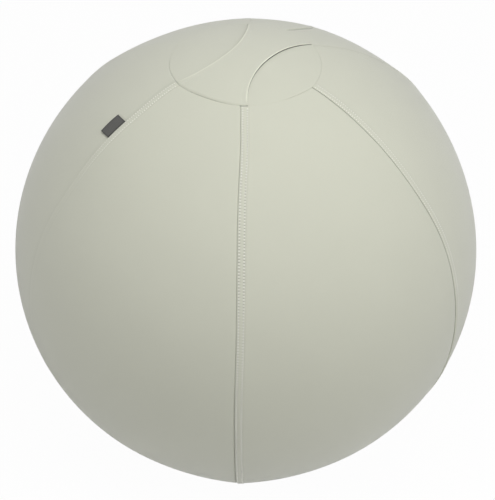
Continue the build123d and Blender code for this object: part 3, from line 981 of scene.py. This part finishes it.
def gore_columns(form, gore, polar):
    """Columns of a gore at one row, from its lapped edge to its tucked one: azimuth, height and painted
    shade.
    """
    lapped = gore_edge(form, gore, polar, LIP, -1)
    tucked = gore_edge(form, gore, polar, TUCK, 1)
    first, last = lapped[-1][0], tucked[0][0]
    shares = [i / GORE_COLUMNS for i in range(1, GORE_COLUMNS)]
    if GORE_NAMES[gore] == CREASED_GORE:
        close = [CREASE_START + CREASE_STEP * i for i in range(CREASE_COLUMNS)]
        low, high = close[0] - CREASE_STEP, close[-1] + CREASE_STEP
        shares = sorted([share for share in shares if not low < share < high] + close)
    return lapped + [(first + (last - first) * share, 0.0, 0.0) for share in shares] + tucked


class BALL_OT_gores(bpy.types.Operator):
    """Sew the six gores of the cover, each lapped over the next along a stitched seam"""

    bl_idname = "sitting_ball.gores"
    bl_label = "Sew Gores"

    def execute(self, context):
        sizes = context.scene.ball_sizes
        form = CoverForm(sizes)
        knit = material_for("cover_knit", context.scene.ball_finishes)
        for gore, name in enumerate(GORE_NAMES):
            piece = self.sew(form, sizes, gore, name)
            paint(piece, knit)
            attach(piece, "cover")
            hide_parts(f"gore_{name}")
        return {"FINISHED"}

    def sew(self, form, sizes, gore, name):
        """One gore."""
        rows = []
        for polar in gore_rows(form, sizes.row_step):
            end = min(polar - form.crown_polar, form.gore_end - polar) * form.radius
            ring = form.radius * math.sin(polar)
            drop = edge_drop(end)
            row = []
            for azimuth, height, shadow in gore_columns(form, gore, polar):
                pull = sewn_depth(azimuth) if polar < math.pi / 2 else 1.0
                lift = max(height + drop * min(pull, 1.0), DEEPEST_FACE)
                if name == CREASED_GORE:
                    fold, fold_shade = crease(form, azimuth, polar)
                    lift += fold
                    shadow = max(shadow, fold_shade)
                bent = form.bent(azimuth, polar)
                lining = max(min(lift, 0.0) - sizes.fabric, DEEPEST_LINING)
                faces = form.point(azimuth, bent, lift), form.point(azimuth, bent, lining)
                place = ((azimuth - gore * SECTOR) * ring, polar * form.radius)
                # Painted shade in the ditches, in the fold and along the sewn ends
                row.append((*faces, place, max(shadow, edge_shade(end, pull)), 0.0))
            rows.append(row)
        return shell(f"cloth_gore_{name}", rows)


class BALL_OT_crown(bpy.types.Operator):
    """Sew the crown panel, a rounded hexagon under the carry handle"""

    bl_idname = "sitting_ball.crown"
    bl_label = "Sew Crown"

    def execute(self, context):
        sizes = context.scene.ball_sizes
        form = CoverForm(sizes)
        rim = form.crown_polar * form.radius
        edge = [rim - reach for reach in reversed(RIM_REACH)]
        rows = []
        for station in spaced(0.0, edge[0], CROWN_STEP) + edge[1:]:
            polar = station / form.radius
            share = (station / rim) ** 2
            row = []
            for turn in ring_turns(CROWN_COLUMNS):
                bent = form.bent(turn, polar)
                pull = sewn_depth(turn)
                outside = form.point(turn, bent, edge_drop(rim - station) * min(pull, 1.0), share)
                inside = form.point(turn, bent, -sizes.fabric, share)
                place = (station * math.cos(turn), station * math.sin(turn))
                # Painted shade along the crown seam
                row.append((outside, inside, place, edge_shade(rim - station, pull), 0.0))
            rows.append(row)
        piece = shell("cloth_crown", rows, wrap=True, pole=True)
        paint(piece, material_for("cover_knit", context.scene.ball_finishes))
        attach(piece, "cover")
        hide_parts("crown_panel")
        return {"FINISHED"}


class HandleForm:
    """The waisted band over the crown, in its own line: x along it to the back, y to its left."""

    def __init__(self, sizes):
        self.cover = CoverForm(sizes)
        self.top = BALL_TOP
        self.crown_radius = sizes.crown_radius
        self.turn = HANDLE_TURN
        self.waist = {"left": sizes.handle_waist_left, "right": -sizes.handle_waist_right}
        self.end_x = HANDLE_REACH
        self.sag = sizes.ball_radius - math.sqrt(sizes.ball_radius**2 - sizes.crown_radius**2)

    def side(self, x, edge):
        """Place across the band of a waisted edge, which flares from its waist to each end."""
        shape = HANDLE_EDGES[edge]
        waist = self.waist[edge]
        end_x, end_y, bend = shape["back"] if x > shape["waist_x"] else shape["front"]
        run = (x - shape["waist_x"]) / (end_x - shape["waist_x"])
        return waist + (end_y - waist) * run**bend

    def end(self, y, way):
        """Distance of the sewn end from the band's middle, along the crown seam."""
        x = self.end_x
        for _ in range(4):
            rim = self.cover.rim_radius(self.turn + math.atan2(y, way * x)) - HANDLE_GAP
            x = math.sqrt(rim**2 - y**2)
        return x

    def dome(self, x, y, rise_mid, rise_end):
        """Height over the band, standing off the crown more in the middle than at its ends."""
        sag = self.sag + rise_mid - rise_end
        bow = (self.crown_radius**2 + sag**2) / (2 * sag)
        return self.top + rise_mid - bow + math.sqrt(bow**2 - x**2 - y**2)

    def place(self, x, y, z):
        """Point of the band in the object's frame."""
        c, s = math.cos(self.turn), math.sin(self.turn)
        return Vector((x * c - y * s, x * s + y * c, z))

    def spot(self, along, across):
        """Flat place on the band, from -1 to 1 along it and at a share across it, and the band's width."""
        low, high = (self.side(along * self.end_x, edge) for edge in ("right", "left"))
        y = low + (high - low) * across
        return along * self.end(y, math.copysign(1.0, along)), y, high - low

    def gap(self, x, y):
        """Distance from a place on the band to its sewn end."""
        return max(self.end(y, math.copysign(1.0, x)) - abs(x), 0.0)

    def top_height(self, x, y, hem):
        """Height of the band's upper face; it dips into the crown seam at its ends."""
        gap = self.gap(x, y)
        fall = edge_drop(gap) * HANDLE_DROP_SHARE
        settle = -HANDLE_SETTLE * (1 - smooth_step(0.0, HANDLE_SETTLE_OVER, gap))
        return self.dome(x, y, HANDLE_RISE, HANDLE_RISE) + hem + fall + settle

    def low_height(self, x, y, edge):
        """Height of the band's lower face; its hems reach down almost to the crown."""
        hollow = HANDLE_HOLLOW * smooth_step(*HANDLE_HOLLOW_OVER, edge)
        low = self.dome(x, y, HANDLE_LOW_MIDDLE + hollow, HANDLE_LOW_END)
        return min(low, self.top_height(x, y, 0.0) - HANDLE_THIN)


def hem_section(distance):
    """Height of the handle's hem at a distance from its edge, and how much highlight is painted on it."""
    return [float(np.interp(distance, HEM_REACH, values)) for values in (HEM_RISE, HEM_HIGHLIGHT_SHARE)]


class BALL_OT_handle(bpy.types.Operator):
    """Sew the carry handle in two halves"""

    bl_idname = "sitting_ball.handle"
    bl_label = "Sew Handle"

    def execute(self, context):
        sizes = context.scene.ball_sizes
        finishes = context.scene.ball_finishes
        form = HandleForm(sizes)
        width = sizes.stitch_width * HANDLE_THREAD
        for name, way in (("front", -1.0), ("back", 1.0)):
            band = self.half_band(form, name, way)
            paint(band, material_for("cover_knit", finishes))
            lines = [self.hem_line(form, way, flip) for flip in (False, True)]
            rows = stitch(f"handle_stitches_{name}", lines, finishes, sizes.stitch_pitch, width)
            for piece in (band, rows):
                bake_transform(piece)
            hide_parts("carry_handle")
        return {"FINISHED"}

    def half_band(self, form, name, way):
        """The band from its middle to one sewn end."""
        ends = [1 - reach / form.end_x for reach in reversed(RIM_REACH)]
        rows = []
        for along in [HANDLE_MIDDLE, *spaced(0.0, ends[0], HANDLE_STEP)[1:-1], *ends]:
            width = form.spot(along * way, 0.0)[2]
            hem = [reach / width for reach in HEM_REACH]
            inner = 1 - 2 * hem[-1]
            middle = [hem[-1] + inner * i / HANDLE_COLUMNS for i in range(1, HANDLE_COLUMNS)]
            acrosses = hem + middle + [1 - share for share in reversed(hem)]
            rows.append([self.cloth_spot(form, along * way, across) for across in acrosses])
        return shell(f"cloth_handle_{name}", rows)

    def cloth_spot(self, form, along, across):
        """One spot of the band's cloth."""
        x, y, width = form.spot(along, across)
        edge = min(across, 1 - across) * width
        gap = form.gap(x, y)
        # rubbed is the hem's painted highlight, lighter near its edge
        rise, rubbed = hem_section(edge)
        rubbed *= HEM_HIGHLIGHT["right" if across < 0.5 else "left"] * smooth_step(*HIGHLIGHT_FROM, gap)
        outside = form.place(x, y, form.top_height(x, y, rise))
        inside = form.place(x, y, form.low_height(x, y, edge))
        pull = sewn_depth(form.turn + math.atan2(y, x))
        # The edge wall and the underside get painted shade for the shadow under the band; the hem gets
        # painted highlight
        dark = EDGE_PAINTED_SHADE if edge == 0 else edge_shade(gap, pull) - rubbed
        return outside, inside, (x, y), dark, EDGE_PAINTED_SHADE if edge < UNDERSIDE_EDGE else UNDERSIDE_PAINTED_SHADE

    def hem_line(self, form, way, flip):
        """The stitched row along one hem of one half."""
        line = []
        rise = hem_section(HANDLE_ROW)[0] - HANDLE_ROW_SINK
        for along in spaced(*HANDLE_ROW_SPAN, HANDLE_ROW_STEP):
            across = HANDLE_ROW / form.spot(along * way, 0.0)[2]
            x, y, _ = form.spot(along * way, 1 - across if flip else across)
            spot = form.place(x, y, form.top_height(x, y, rise))
            line.append((spot, (spot - form.cover.centre).normalized()))
        return line


class BALL_OT_label(bpy.types.Operator):
    """Sew the folded woven label into the left front seam, its face left bare"""

    bl_idname = "sitting_ball.label"
    bl_label = "Sew Label"

    def execute(self, context):
        sizes = context.scene.ball_sizes
        form = CoverForm(sizes)
        seam = SEAM_NAMES.index("left_front")
        piece = self.weave(form, sizes, seam)
        paint(piece, material_for("label_weave", context.scene.ball_finishes))
        sewn, free = [
            form.point(form.seam_turn(seam, LABEL_PLACE, across), LABEL_PLACE, LABEL_LEVEL)
            for across in LABEL_BEND
        ]
        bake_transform(piece)
        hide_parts("side_label")
        return {"FINISHED"}

    def weave(self, form, sizes, seam):
        """The folded strip beside its seam, curled off the cloth."""
        half = sizes.label_length / 2 / form.radius
        rows = []
        for polar in spaced(LABEL_PLACE - half, LABEL_PLACE + half, LABEL_STEP / form.radius):
            bow = math.sin((polar - LABEL_PLACE + half) / (2 * half) * math.pi)
            side = (half - abs(polar - LABEL_PLACE)) * form.radius
            row = []
            for run, across, low, high in self.fold(sizes.label_width):
                out = across / sizes.label_width
                curl = LABEL_CURL * out**2 * (1 - LABEL_BOW + LABEL_BOW * bow)
                slid = polar + LABEL_SLANT / form.radius * out
                turn = form.seam_turn(seam, slid, LABEL_PAST - across)
                faces = form.point(turn, slid, high + curl), form.point(turn, slid, low + curl)
                border = 1 - smooth_step(*LABEL_BORDER, min(across, sizes.label_width - across, side))
                row.append((*faces, (polar * form.radius, run), border, border))
            rows.append(row)
        return shell("woven_label", rows)

    def fold(self, width):
        """The folded strip's section: length run, distance from the seam, and its two heights."""
        steps = [width * i / LABEL_COLUMNS for i in range(LABEL_COLUMNS + 1)]
        under = (LABEL_UNDER, LABEL_UNDER + LABEL_THICK)
        over = (LABEL_OVER, LABEL_OVER - LABEL_THICK)
        back = [(2 * width - step, step, *over) for step in reversed(steps)]
        return [(step, step, *under) for step in steps] + back


class BALL_OT_stitches(bpy.types.Operator):
    """Sew two rows of topstitching beside each seam and one row round the gores' lower hem"""

    bl_idname = "sitting_ball.stitches"
    bl_label = "Topstitch Seams"

    def execute(self, context):
        sizes = context.scene.ball_sizes
        finishes = context.scene.ball_finishes
        form = CoverForm(sizes)
        lines = [self.row(form, seam, *row) for seam in range(len(SEAM_NAMES)) for row in SEAM_ROWS]
        front, others = lines[:2], lines[2:]
        polar = form.gore_end - GORE_HEM_ROW / form.radius
        turns = ring_turns(RING_POINTS)
        ring = [(form.point(turn, polar, GORE_HEM_LIFT), form.outward(turn, polar)) for turn in turns]
        for piece in (
            stitch("seam_stitches", others, finishes, sizes.stitch_pitch, sizes.stitch_width),
            # The hole pieces are dark beads of painted shade between the stitches
            pierce("seam_holes", others, finishes, sizes.stitch_pitch, sizes.hole_width),
            stitch("front_stitches", front, finishes, sizes.front_pitch, sizes.front_width),
            pierce("front_holes", front, finishes, sizes.front_pitch, sizes.front_hole),
            stitch("hem_stitches", [ring], finishes, sizes.stitch_pitch, sizes.stitch_width, closed=True),
        ):
            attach(piece, "cover")
        return {"FINISHED"}

    def row(self, form, seam, across, start):
        """One row beside a seam, sunk in the cloth where the seam lies flat."""
        line = []
        first = form.crown_polar + start / form.radius
        for polar in spaced(first, form.gore_end - ROW_END / form.radius, ROW_STEP):
            turn = form.seam_turn(seam, polar, across)
            lift = ROW_LEVEL + ROW_LIFT * min(seam_relief(seam, polar), 1.0)
            line.append((form.point(turn, form.bent(turn, polar), lift), form.outward(turn, polar)))
        return line


class BaseForm:
    """The base panel's outside: a flat patch, a shoulder, and the ball's round up to the zip."""

    def __init__(self, sizes):
        self.cover = CoverForm(sizes)
        self.flat = sizes.contact_radius
        self.bend = sizes.shoulder_radius
        self.lean = math.atan2(self.flat, self.cover.centre.z - self.bend)
        self.bend_length = self.bend * self.lean
        self.round_start = math.pi - self.lean

    def rim(self, azimuth):
        """Length from the axis to the base's edge, shorter beside the zip."""
        turn = math.degrees(azimuth) % 360
        if turn > ZIP_FAR_SIDE:
            beside = smooth_step(*ZIP_STEP_IN, turn)
        else:
            beside = 1 - smooth_step(*ZIP_STEP_OUT, turn)
        polar = self.cover.gore_end + (self.cover.zip_inner - self.cover.gore_end) * beside
        return self.flat + self.bend_length + (self.round_start - polar) * self.cover.radius - BASE_GAP

    def spot(self, azimuth, run, lift):
        """Point at a length from the axis, and its outward direction."""
        if run <= self.flat:
            reach, height, tip = run, 0.0, 0.0
        elif run <= self.flat + self.bend_length:
            tip = (run - self.flat) / self.bend
            reach, height = self.flat + self.bend * math.sin(tip), self.bend * (1 - math.cos(tip))
        else:
            tip = self.lean + (run - self.flat - self.bend_length) / self.cover.radius
            reach = self.cover.radius * math.sin(tip)
            height = self.cover.centre.z - self.cover.radius * math.cos(tip)
        c, s = math.cos(azimuth), math.sin(azimuth)
        out = Vector((math.sin(tip) * c, math.sin(tip) * s, -math.cos(tip)))
        return Vector((reach * c, reach * s, height)) + out * lift, out


class BALL_OT_base(bpy.types.Operator):
    """Sew the base panel and print its rings of rubber grip dots"""

    bl_idname = "sitting_ball.base"
    bl_label = "Sew Base"

    def execute(self, context):
        sizes = context.scene.ball_sizes
        finishes = context.scene.ball_finishes
        form = BaseForm(sizes)
        panel = self.panel(form, sizes)
        paint(panel, material_for("base_knit", finishes))
        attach(panel, "cover")
        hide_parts("base_panel")
        places = self.dot_places(form, sizes.dot_pitch)
        rubber = material_for("grip_rubber", finishes)
        inputs = {"Radius": sizes.dot_radius, "Rise": DOT_RISE, "Material": rubber}
        dots = grow("grip_dots", [places], dot_tree, joined=False, **inputs)
        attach(dots, "cover")
        turns = ring_turns(RING_POINTS)
        row = [form.spot(turn, form.rim(turn) - BASE_ROW, BASE_ROW_LEVEL) for turn in turns]
        rows = stitch("base_stitches", [row], finishes, sizes.stitch_pitch, sizes.stitch_width, closed=True)
        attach(rows, "cover")
        return {"FINISHED"}

    def panel(self, form, sizes):
        """The dished panel, from its middle to its edge."""
        shares = spaced(0.0, 1.0, BASE_STEP)[:-1]
        rings = [(share, RIM_REACH[-1]) for share in shares]
        rings += [(1.0, reach) for reach in reversed(RIM_REACH)]
        rows = []
        for share, distance in rings:
            row = []
            for turn in ring_turns(BASE_COLUMNS):
                run = share * (form.rim(turn) - distance)
                outside = form.spot(turn, run, edge_drop(distance) - BASE_SINK)[0]
                inside = form.spot(turn, run, -sizes.fabric - BASE_LINING)[0]
                place = (run * math.cos(turn), run * math.sin(turn))
                # Painted shade along the sewn edge
                row.append((outside, inside, place, edge_shade(distance), 0.0))
            rows.append(row)
        return shell("cloth_base", rows, wrap=True, pole=True)

    def dot_places(self, form, pitch):
        """Rings of dots, each with as many as its length takes, clear of the stitched edge."""
        places = []
        run = pitch
        while run < form.rim(0.0) - DOT_MARGIN:
            count = int(math.tau * run / pitch)
            shift = (run / pitch) * DOT_STAGGER
            places += [form.spot((i + shift) * math.tau / count, run, -BASE_SINK) for i in range(count)]
            run += pitch * DOT_RING_SHARE
        return places


class ZipForm:
    """The zip's line round the ball, under the edges of the gores and of the base."""

    def __init__(self, sizes):
        self.cover = CoverForm(sizes)
        self.level = sizes.ball_radius - TAPE_DEPTH
        self.radius = sizes.zip_radius
        self.last_tooth = ZIP_END - LAST_TOOTH / sizes.zip_radius
        self.step = sizes.tooth_pitch / sizes.zip_radius

    def spot(self, azimuth, across, lift):
        """Point beside the zip's middle, towards the gores, and its outward direction."""
        polar = self.cover.zip_polar - across / self.level
        out = self.cover.outward(azimuth, polar)
        return self.cover.centre + out * (self.level + lift), out


class BALL_OT_zip(bpy.types.Operator):
    """Weave the zip's two tapes and mould its two rows of teeth"""

    bl_idname = "sitting_ball.zip"
    bl_label = "Make Zip"

    def execute(self, context):
        finishes = context.scene.ball_finishes
        form = ZipForm(context.scene.ball_sizes)
        plastic = material_for("teeth_plastic", finishes)
        for name, side in (("outer", 1.0), ("inner", -1.0)):
            tape = self.tape(form, f"woven_tape_{name}", side)
            paint(tape, material_for("tape_weave", finishes))
            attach(tape, "cover")
            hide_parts(f"zip_tape_{name}")
            last = form.last_tooth - (0.0 if side > 0 else form.step / 2)
            turns = spaced(last - (TOOTH_COUNT - 1) * form.step, last, TAPE_STEP)
            line = [form.spot(turn, side * TOOTH_ACROSS, 0.0) for turn in turns]
            line = line if side > 0 else line[::-1]
            inputs = {"Thickness": TOOTH_THICK, "Height": TOOTH_HEIGHT, "Material": plastic}
            teeth = grow(f"moulded_teeth_{name}", [line], tooth_tree, Count=TOOTH_COUNT, **inputs)
            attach(teeth, "cover")
            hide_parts(f"zip_teeth_{name}")
        return {"FINISHED"}

    def tape(self, form, name, side):
        """One tape, with the cord along its toothed edge."""
        rows = []
        for turn in spaced(ZIP_START - TAPE_OVERRUN, ZIP_END + TAPE_OVERRUN, TAPE_STEP):
            row = []
            for distance, height in TAPE_SECTION:
                across = side * distance * MM
                outside, inside = (form.spot(turn, across, lift)[0] for lift in (height * MM, TAPE_UNDER))
                row.append((outside, inside, (turn * form.radius, across), 0.0, 0.0))
            rows.append(row)
        return shell(name, rows)


class BALL_OT_inside(bpy.types.Operator):
    """Finish the zip's metal, the bladder, its valve and its ballast"""

    bl_idname = "sitting_ball.inside"
    bl_label = "Finish Fittings"

    def execute(self, context):
        finishes = context.scene.ball_finishes
        for title, nodes in (
            ("zip_metal", ("zip_slider", "zip_pull", "zip_stops")),
            ("bladder_vinyl", ("bladder",)),
            ("valve_plastic", ("valve_seat", "valve_plug")),
            ("ballast_sand", ("ballast",)),
        ):
            for name in nodes:
                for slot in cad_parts[name].material_slots:
                    slot.material = material_for(title, finishes)
        return {"FINISHED"}


class BALL_OT_stage(bpy.types.Operator):
    """Lay the white floor and set the soft light and the camera"""

    bl_idname = "sitting_ball.stage"
    bl_label = "Set Stage"

    def execute(self, context):
        studio = context.scene.ball_studio
        self.floor()
        self.world(context.scene, studio.sky)
        for name, size, place in LAMPS:
            self.lamp(name, getattr(studio, name), size, Vector(place))
        self.camera(context.scene, studio)
        context.scene.view_settings.view_transform = "Standard"
        return {"FINISHED"}

    def show_white(self, tree, output, light, white):
        """Ends a tree in a shader that cameras, mirrors and glass see as white."""
        rays = tree.nodes.new("ShaderNodeLightPath").outputs
        seen = math_node(tree, "MAXIMUM", rays["Is Camera Ray"], rays["Is Glossy Ray"])
        seen = math_node(tree, "MAXIMUM", seen, rays["Is Transmission Ray"])
        pick = add_node(tree, "ShaderNodeMixShader", {0: seen, 1: light, 2: white})
        add_node(tree, output, {"Surface": pick})

    def floor(self):
        """A wide white floor that keeps a pale shadow."""
        corners = [(x * FLOOR_HALF, y * FLOOR_HALF, 0) for x, y in ((-1, -1), (1, -1), (1, 1), (-1, 1))]
        mesh = bpy.data.meshes.new("floor")
        mesh.from_pydata(corners, [], [(0, 1, 2, 3)])
        floor = link_piece("floor", mesh)
        material = bpy.data.materials.new("floor_white")
        material.use_nodes = True
        tree = material.node_tree
        tree.nodes.clear()
        matt = add_node(tree, "ShaderNodeBsdfDiffuse", {"Color": FLOOR_GREY})
        white = add_node(tree, "ShaderNodeBsdfDiffuse", {"Color": WHITE})
        glow = add_node(tree, "ShaderNodeEmission", {"Color": WHITE, "Strength": 1.0})
        pale = add_node(tree, "ShaderNodeMixShader", {0: FLOOR_GLOW, 1: white, 2: glow})
        self.show_white(tree, "ShaderNodeOutputMaterial", matt, pale)
        paint(floor, material)

    def world(self, scene, strength):
        """White to the camera, and softer as a light."""
        world = bpy.data.worlds.new("studio")
        world.use_nodes = True
        tree = world.node_tree
        tree.nodes.clear()
        sky = add_node(tree, "ShaderNodeBackground", {"Color": WHITE, "Strength": strength})
        white = add_node(tree, "ShaderNodeBackground", {"Color": WHITE, "Strength": 1.0})
        self.show_white(tree, "ShaderNodeOutputWorld", sky, white)
        scene.world = world

    def lamp(self, name, energy, size, place):
        """A soft square lamp aimed at the ball."""
        light = bpy.data.lights.new(name, "AREA")
        light.energy = energy
        light.size = size
        lamp = bpy.data.objects.new(name, light)
        lamp.location = place
        lamp.rotation_euler = (BALL_CENTRE - place).to_track_quat("-Z", "Y").to_euler()
        bpy.context.scene.collection.objects.link(lamp)

    def camera(self, scene, studio):
        """The photograph's viewpoint."""
        data = bpy.data.cameras.new("camera")
        data.lens = studio.lens
        data.sensor_width = SENSOR_WIDTH
        data.shift_x, data.shift_y = CAMERA_SHIFT
        camera = bpy.data.objects.new("camera", data)
        a, e = studio.azimuth, studio.elevation
        back = Vector((math.sin(a) * math.cos(e), -math.cos(a) * math.cos(e), math.sin(e)))
        aim = (-back).to_track_quat("-Z", "Y").to_matrix().to_4x4()
        place = Matrix.Translation(BALL_CENTRE + back * studio.distance)
        camera.matrix_world = place @ aim @ Matrix.Rotation(studio.roll, 4, "Z")
        scene.collection.objects.link(camera)
        scene.camera = camera


class BALL_PT_panel(bpy.types.Panel):
    """Lists the steps that make the sitting ball"""

    bl_idname = "BALL_PT_panel"
    bl_label = "Sitting Ball"
    bl_space_type = "VIEW_3D"
    bl_region_type = "UI"
    bl_category = "Sitting Ball"

    def draw(self, context):
        for operator in OPERATORS:
            self.layout.operator(operator.bl_idname)
        for group in (context.scene.ball_sizes, context.scene.ball_finishes, context.scene.ball_studio):
            box = self.layout.box()
            for title in group.__annotations__:
                box.prop(group, title)


GROUPS = (BallSizes, BallFinishes, BallStudio)
OPERATORS = (
    BALL_OT_gores,
    BALL_OT_crown,
    BALL_OT_handle,
    BALL_OT_label,
    BALL_OT_stitches,
    BALL_OT_base,
    BALL_OT_zip,
    BALL_OT_inside,
    BALL_OT_stage,
)


def register():
    """Makes the settings, the steps and the panel known to Blender."""
    for item in (*GROUPS, *OPERATORS, BALL_PT_panel):
        bpy.utils.register_class(item)
    bpy.types.Scene.ball_sizes = bpy.props.PointerProperty(type=BallSizes)
    bpy.types.Scene.ball_finishes = bpy.props.PointerProperty(type=BallFinishes)
    bpy.types.Scene.ball_studio = bpy.props.PointerProperty(type=BallStudio)


def unregister():
    """Takes them out again."""
    del bpy.types.Scene.ball_sizes
    del bpy.types.Scene.ball_finishes
    del bpy.types.Scene.ball_studio
    for item in reversed((*GROUPS, *OPERATORS, BALL_PT_panel)):
        bpy.utils.unregister_class(item)


def main():
    """Builds the ball and its stage."""
    register()
    bpy.ops.sitting_ball.gores()
    bpy.ops.sitting_ball.crown()
    bpy.ops.sitting_ball.handle()
    bpy.ops.sitting_ball.label()
    bpy.ops.sitting_ball.stitches()
    bpy.ops.sitting_ball.base()
    bpy.ops.sitting_ball.zip()
    bpy.ops.sitting_ball.inside()
    bpy.ops.sitting_ball.stage()


if __name__ == "__main__":
    main()
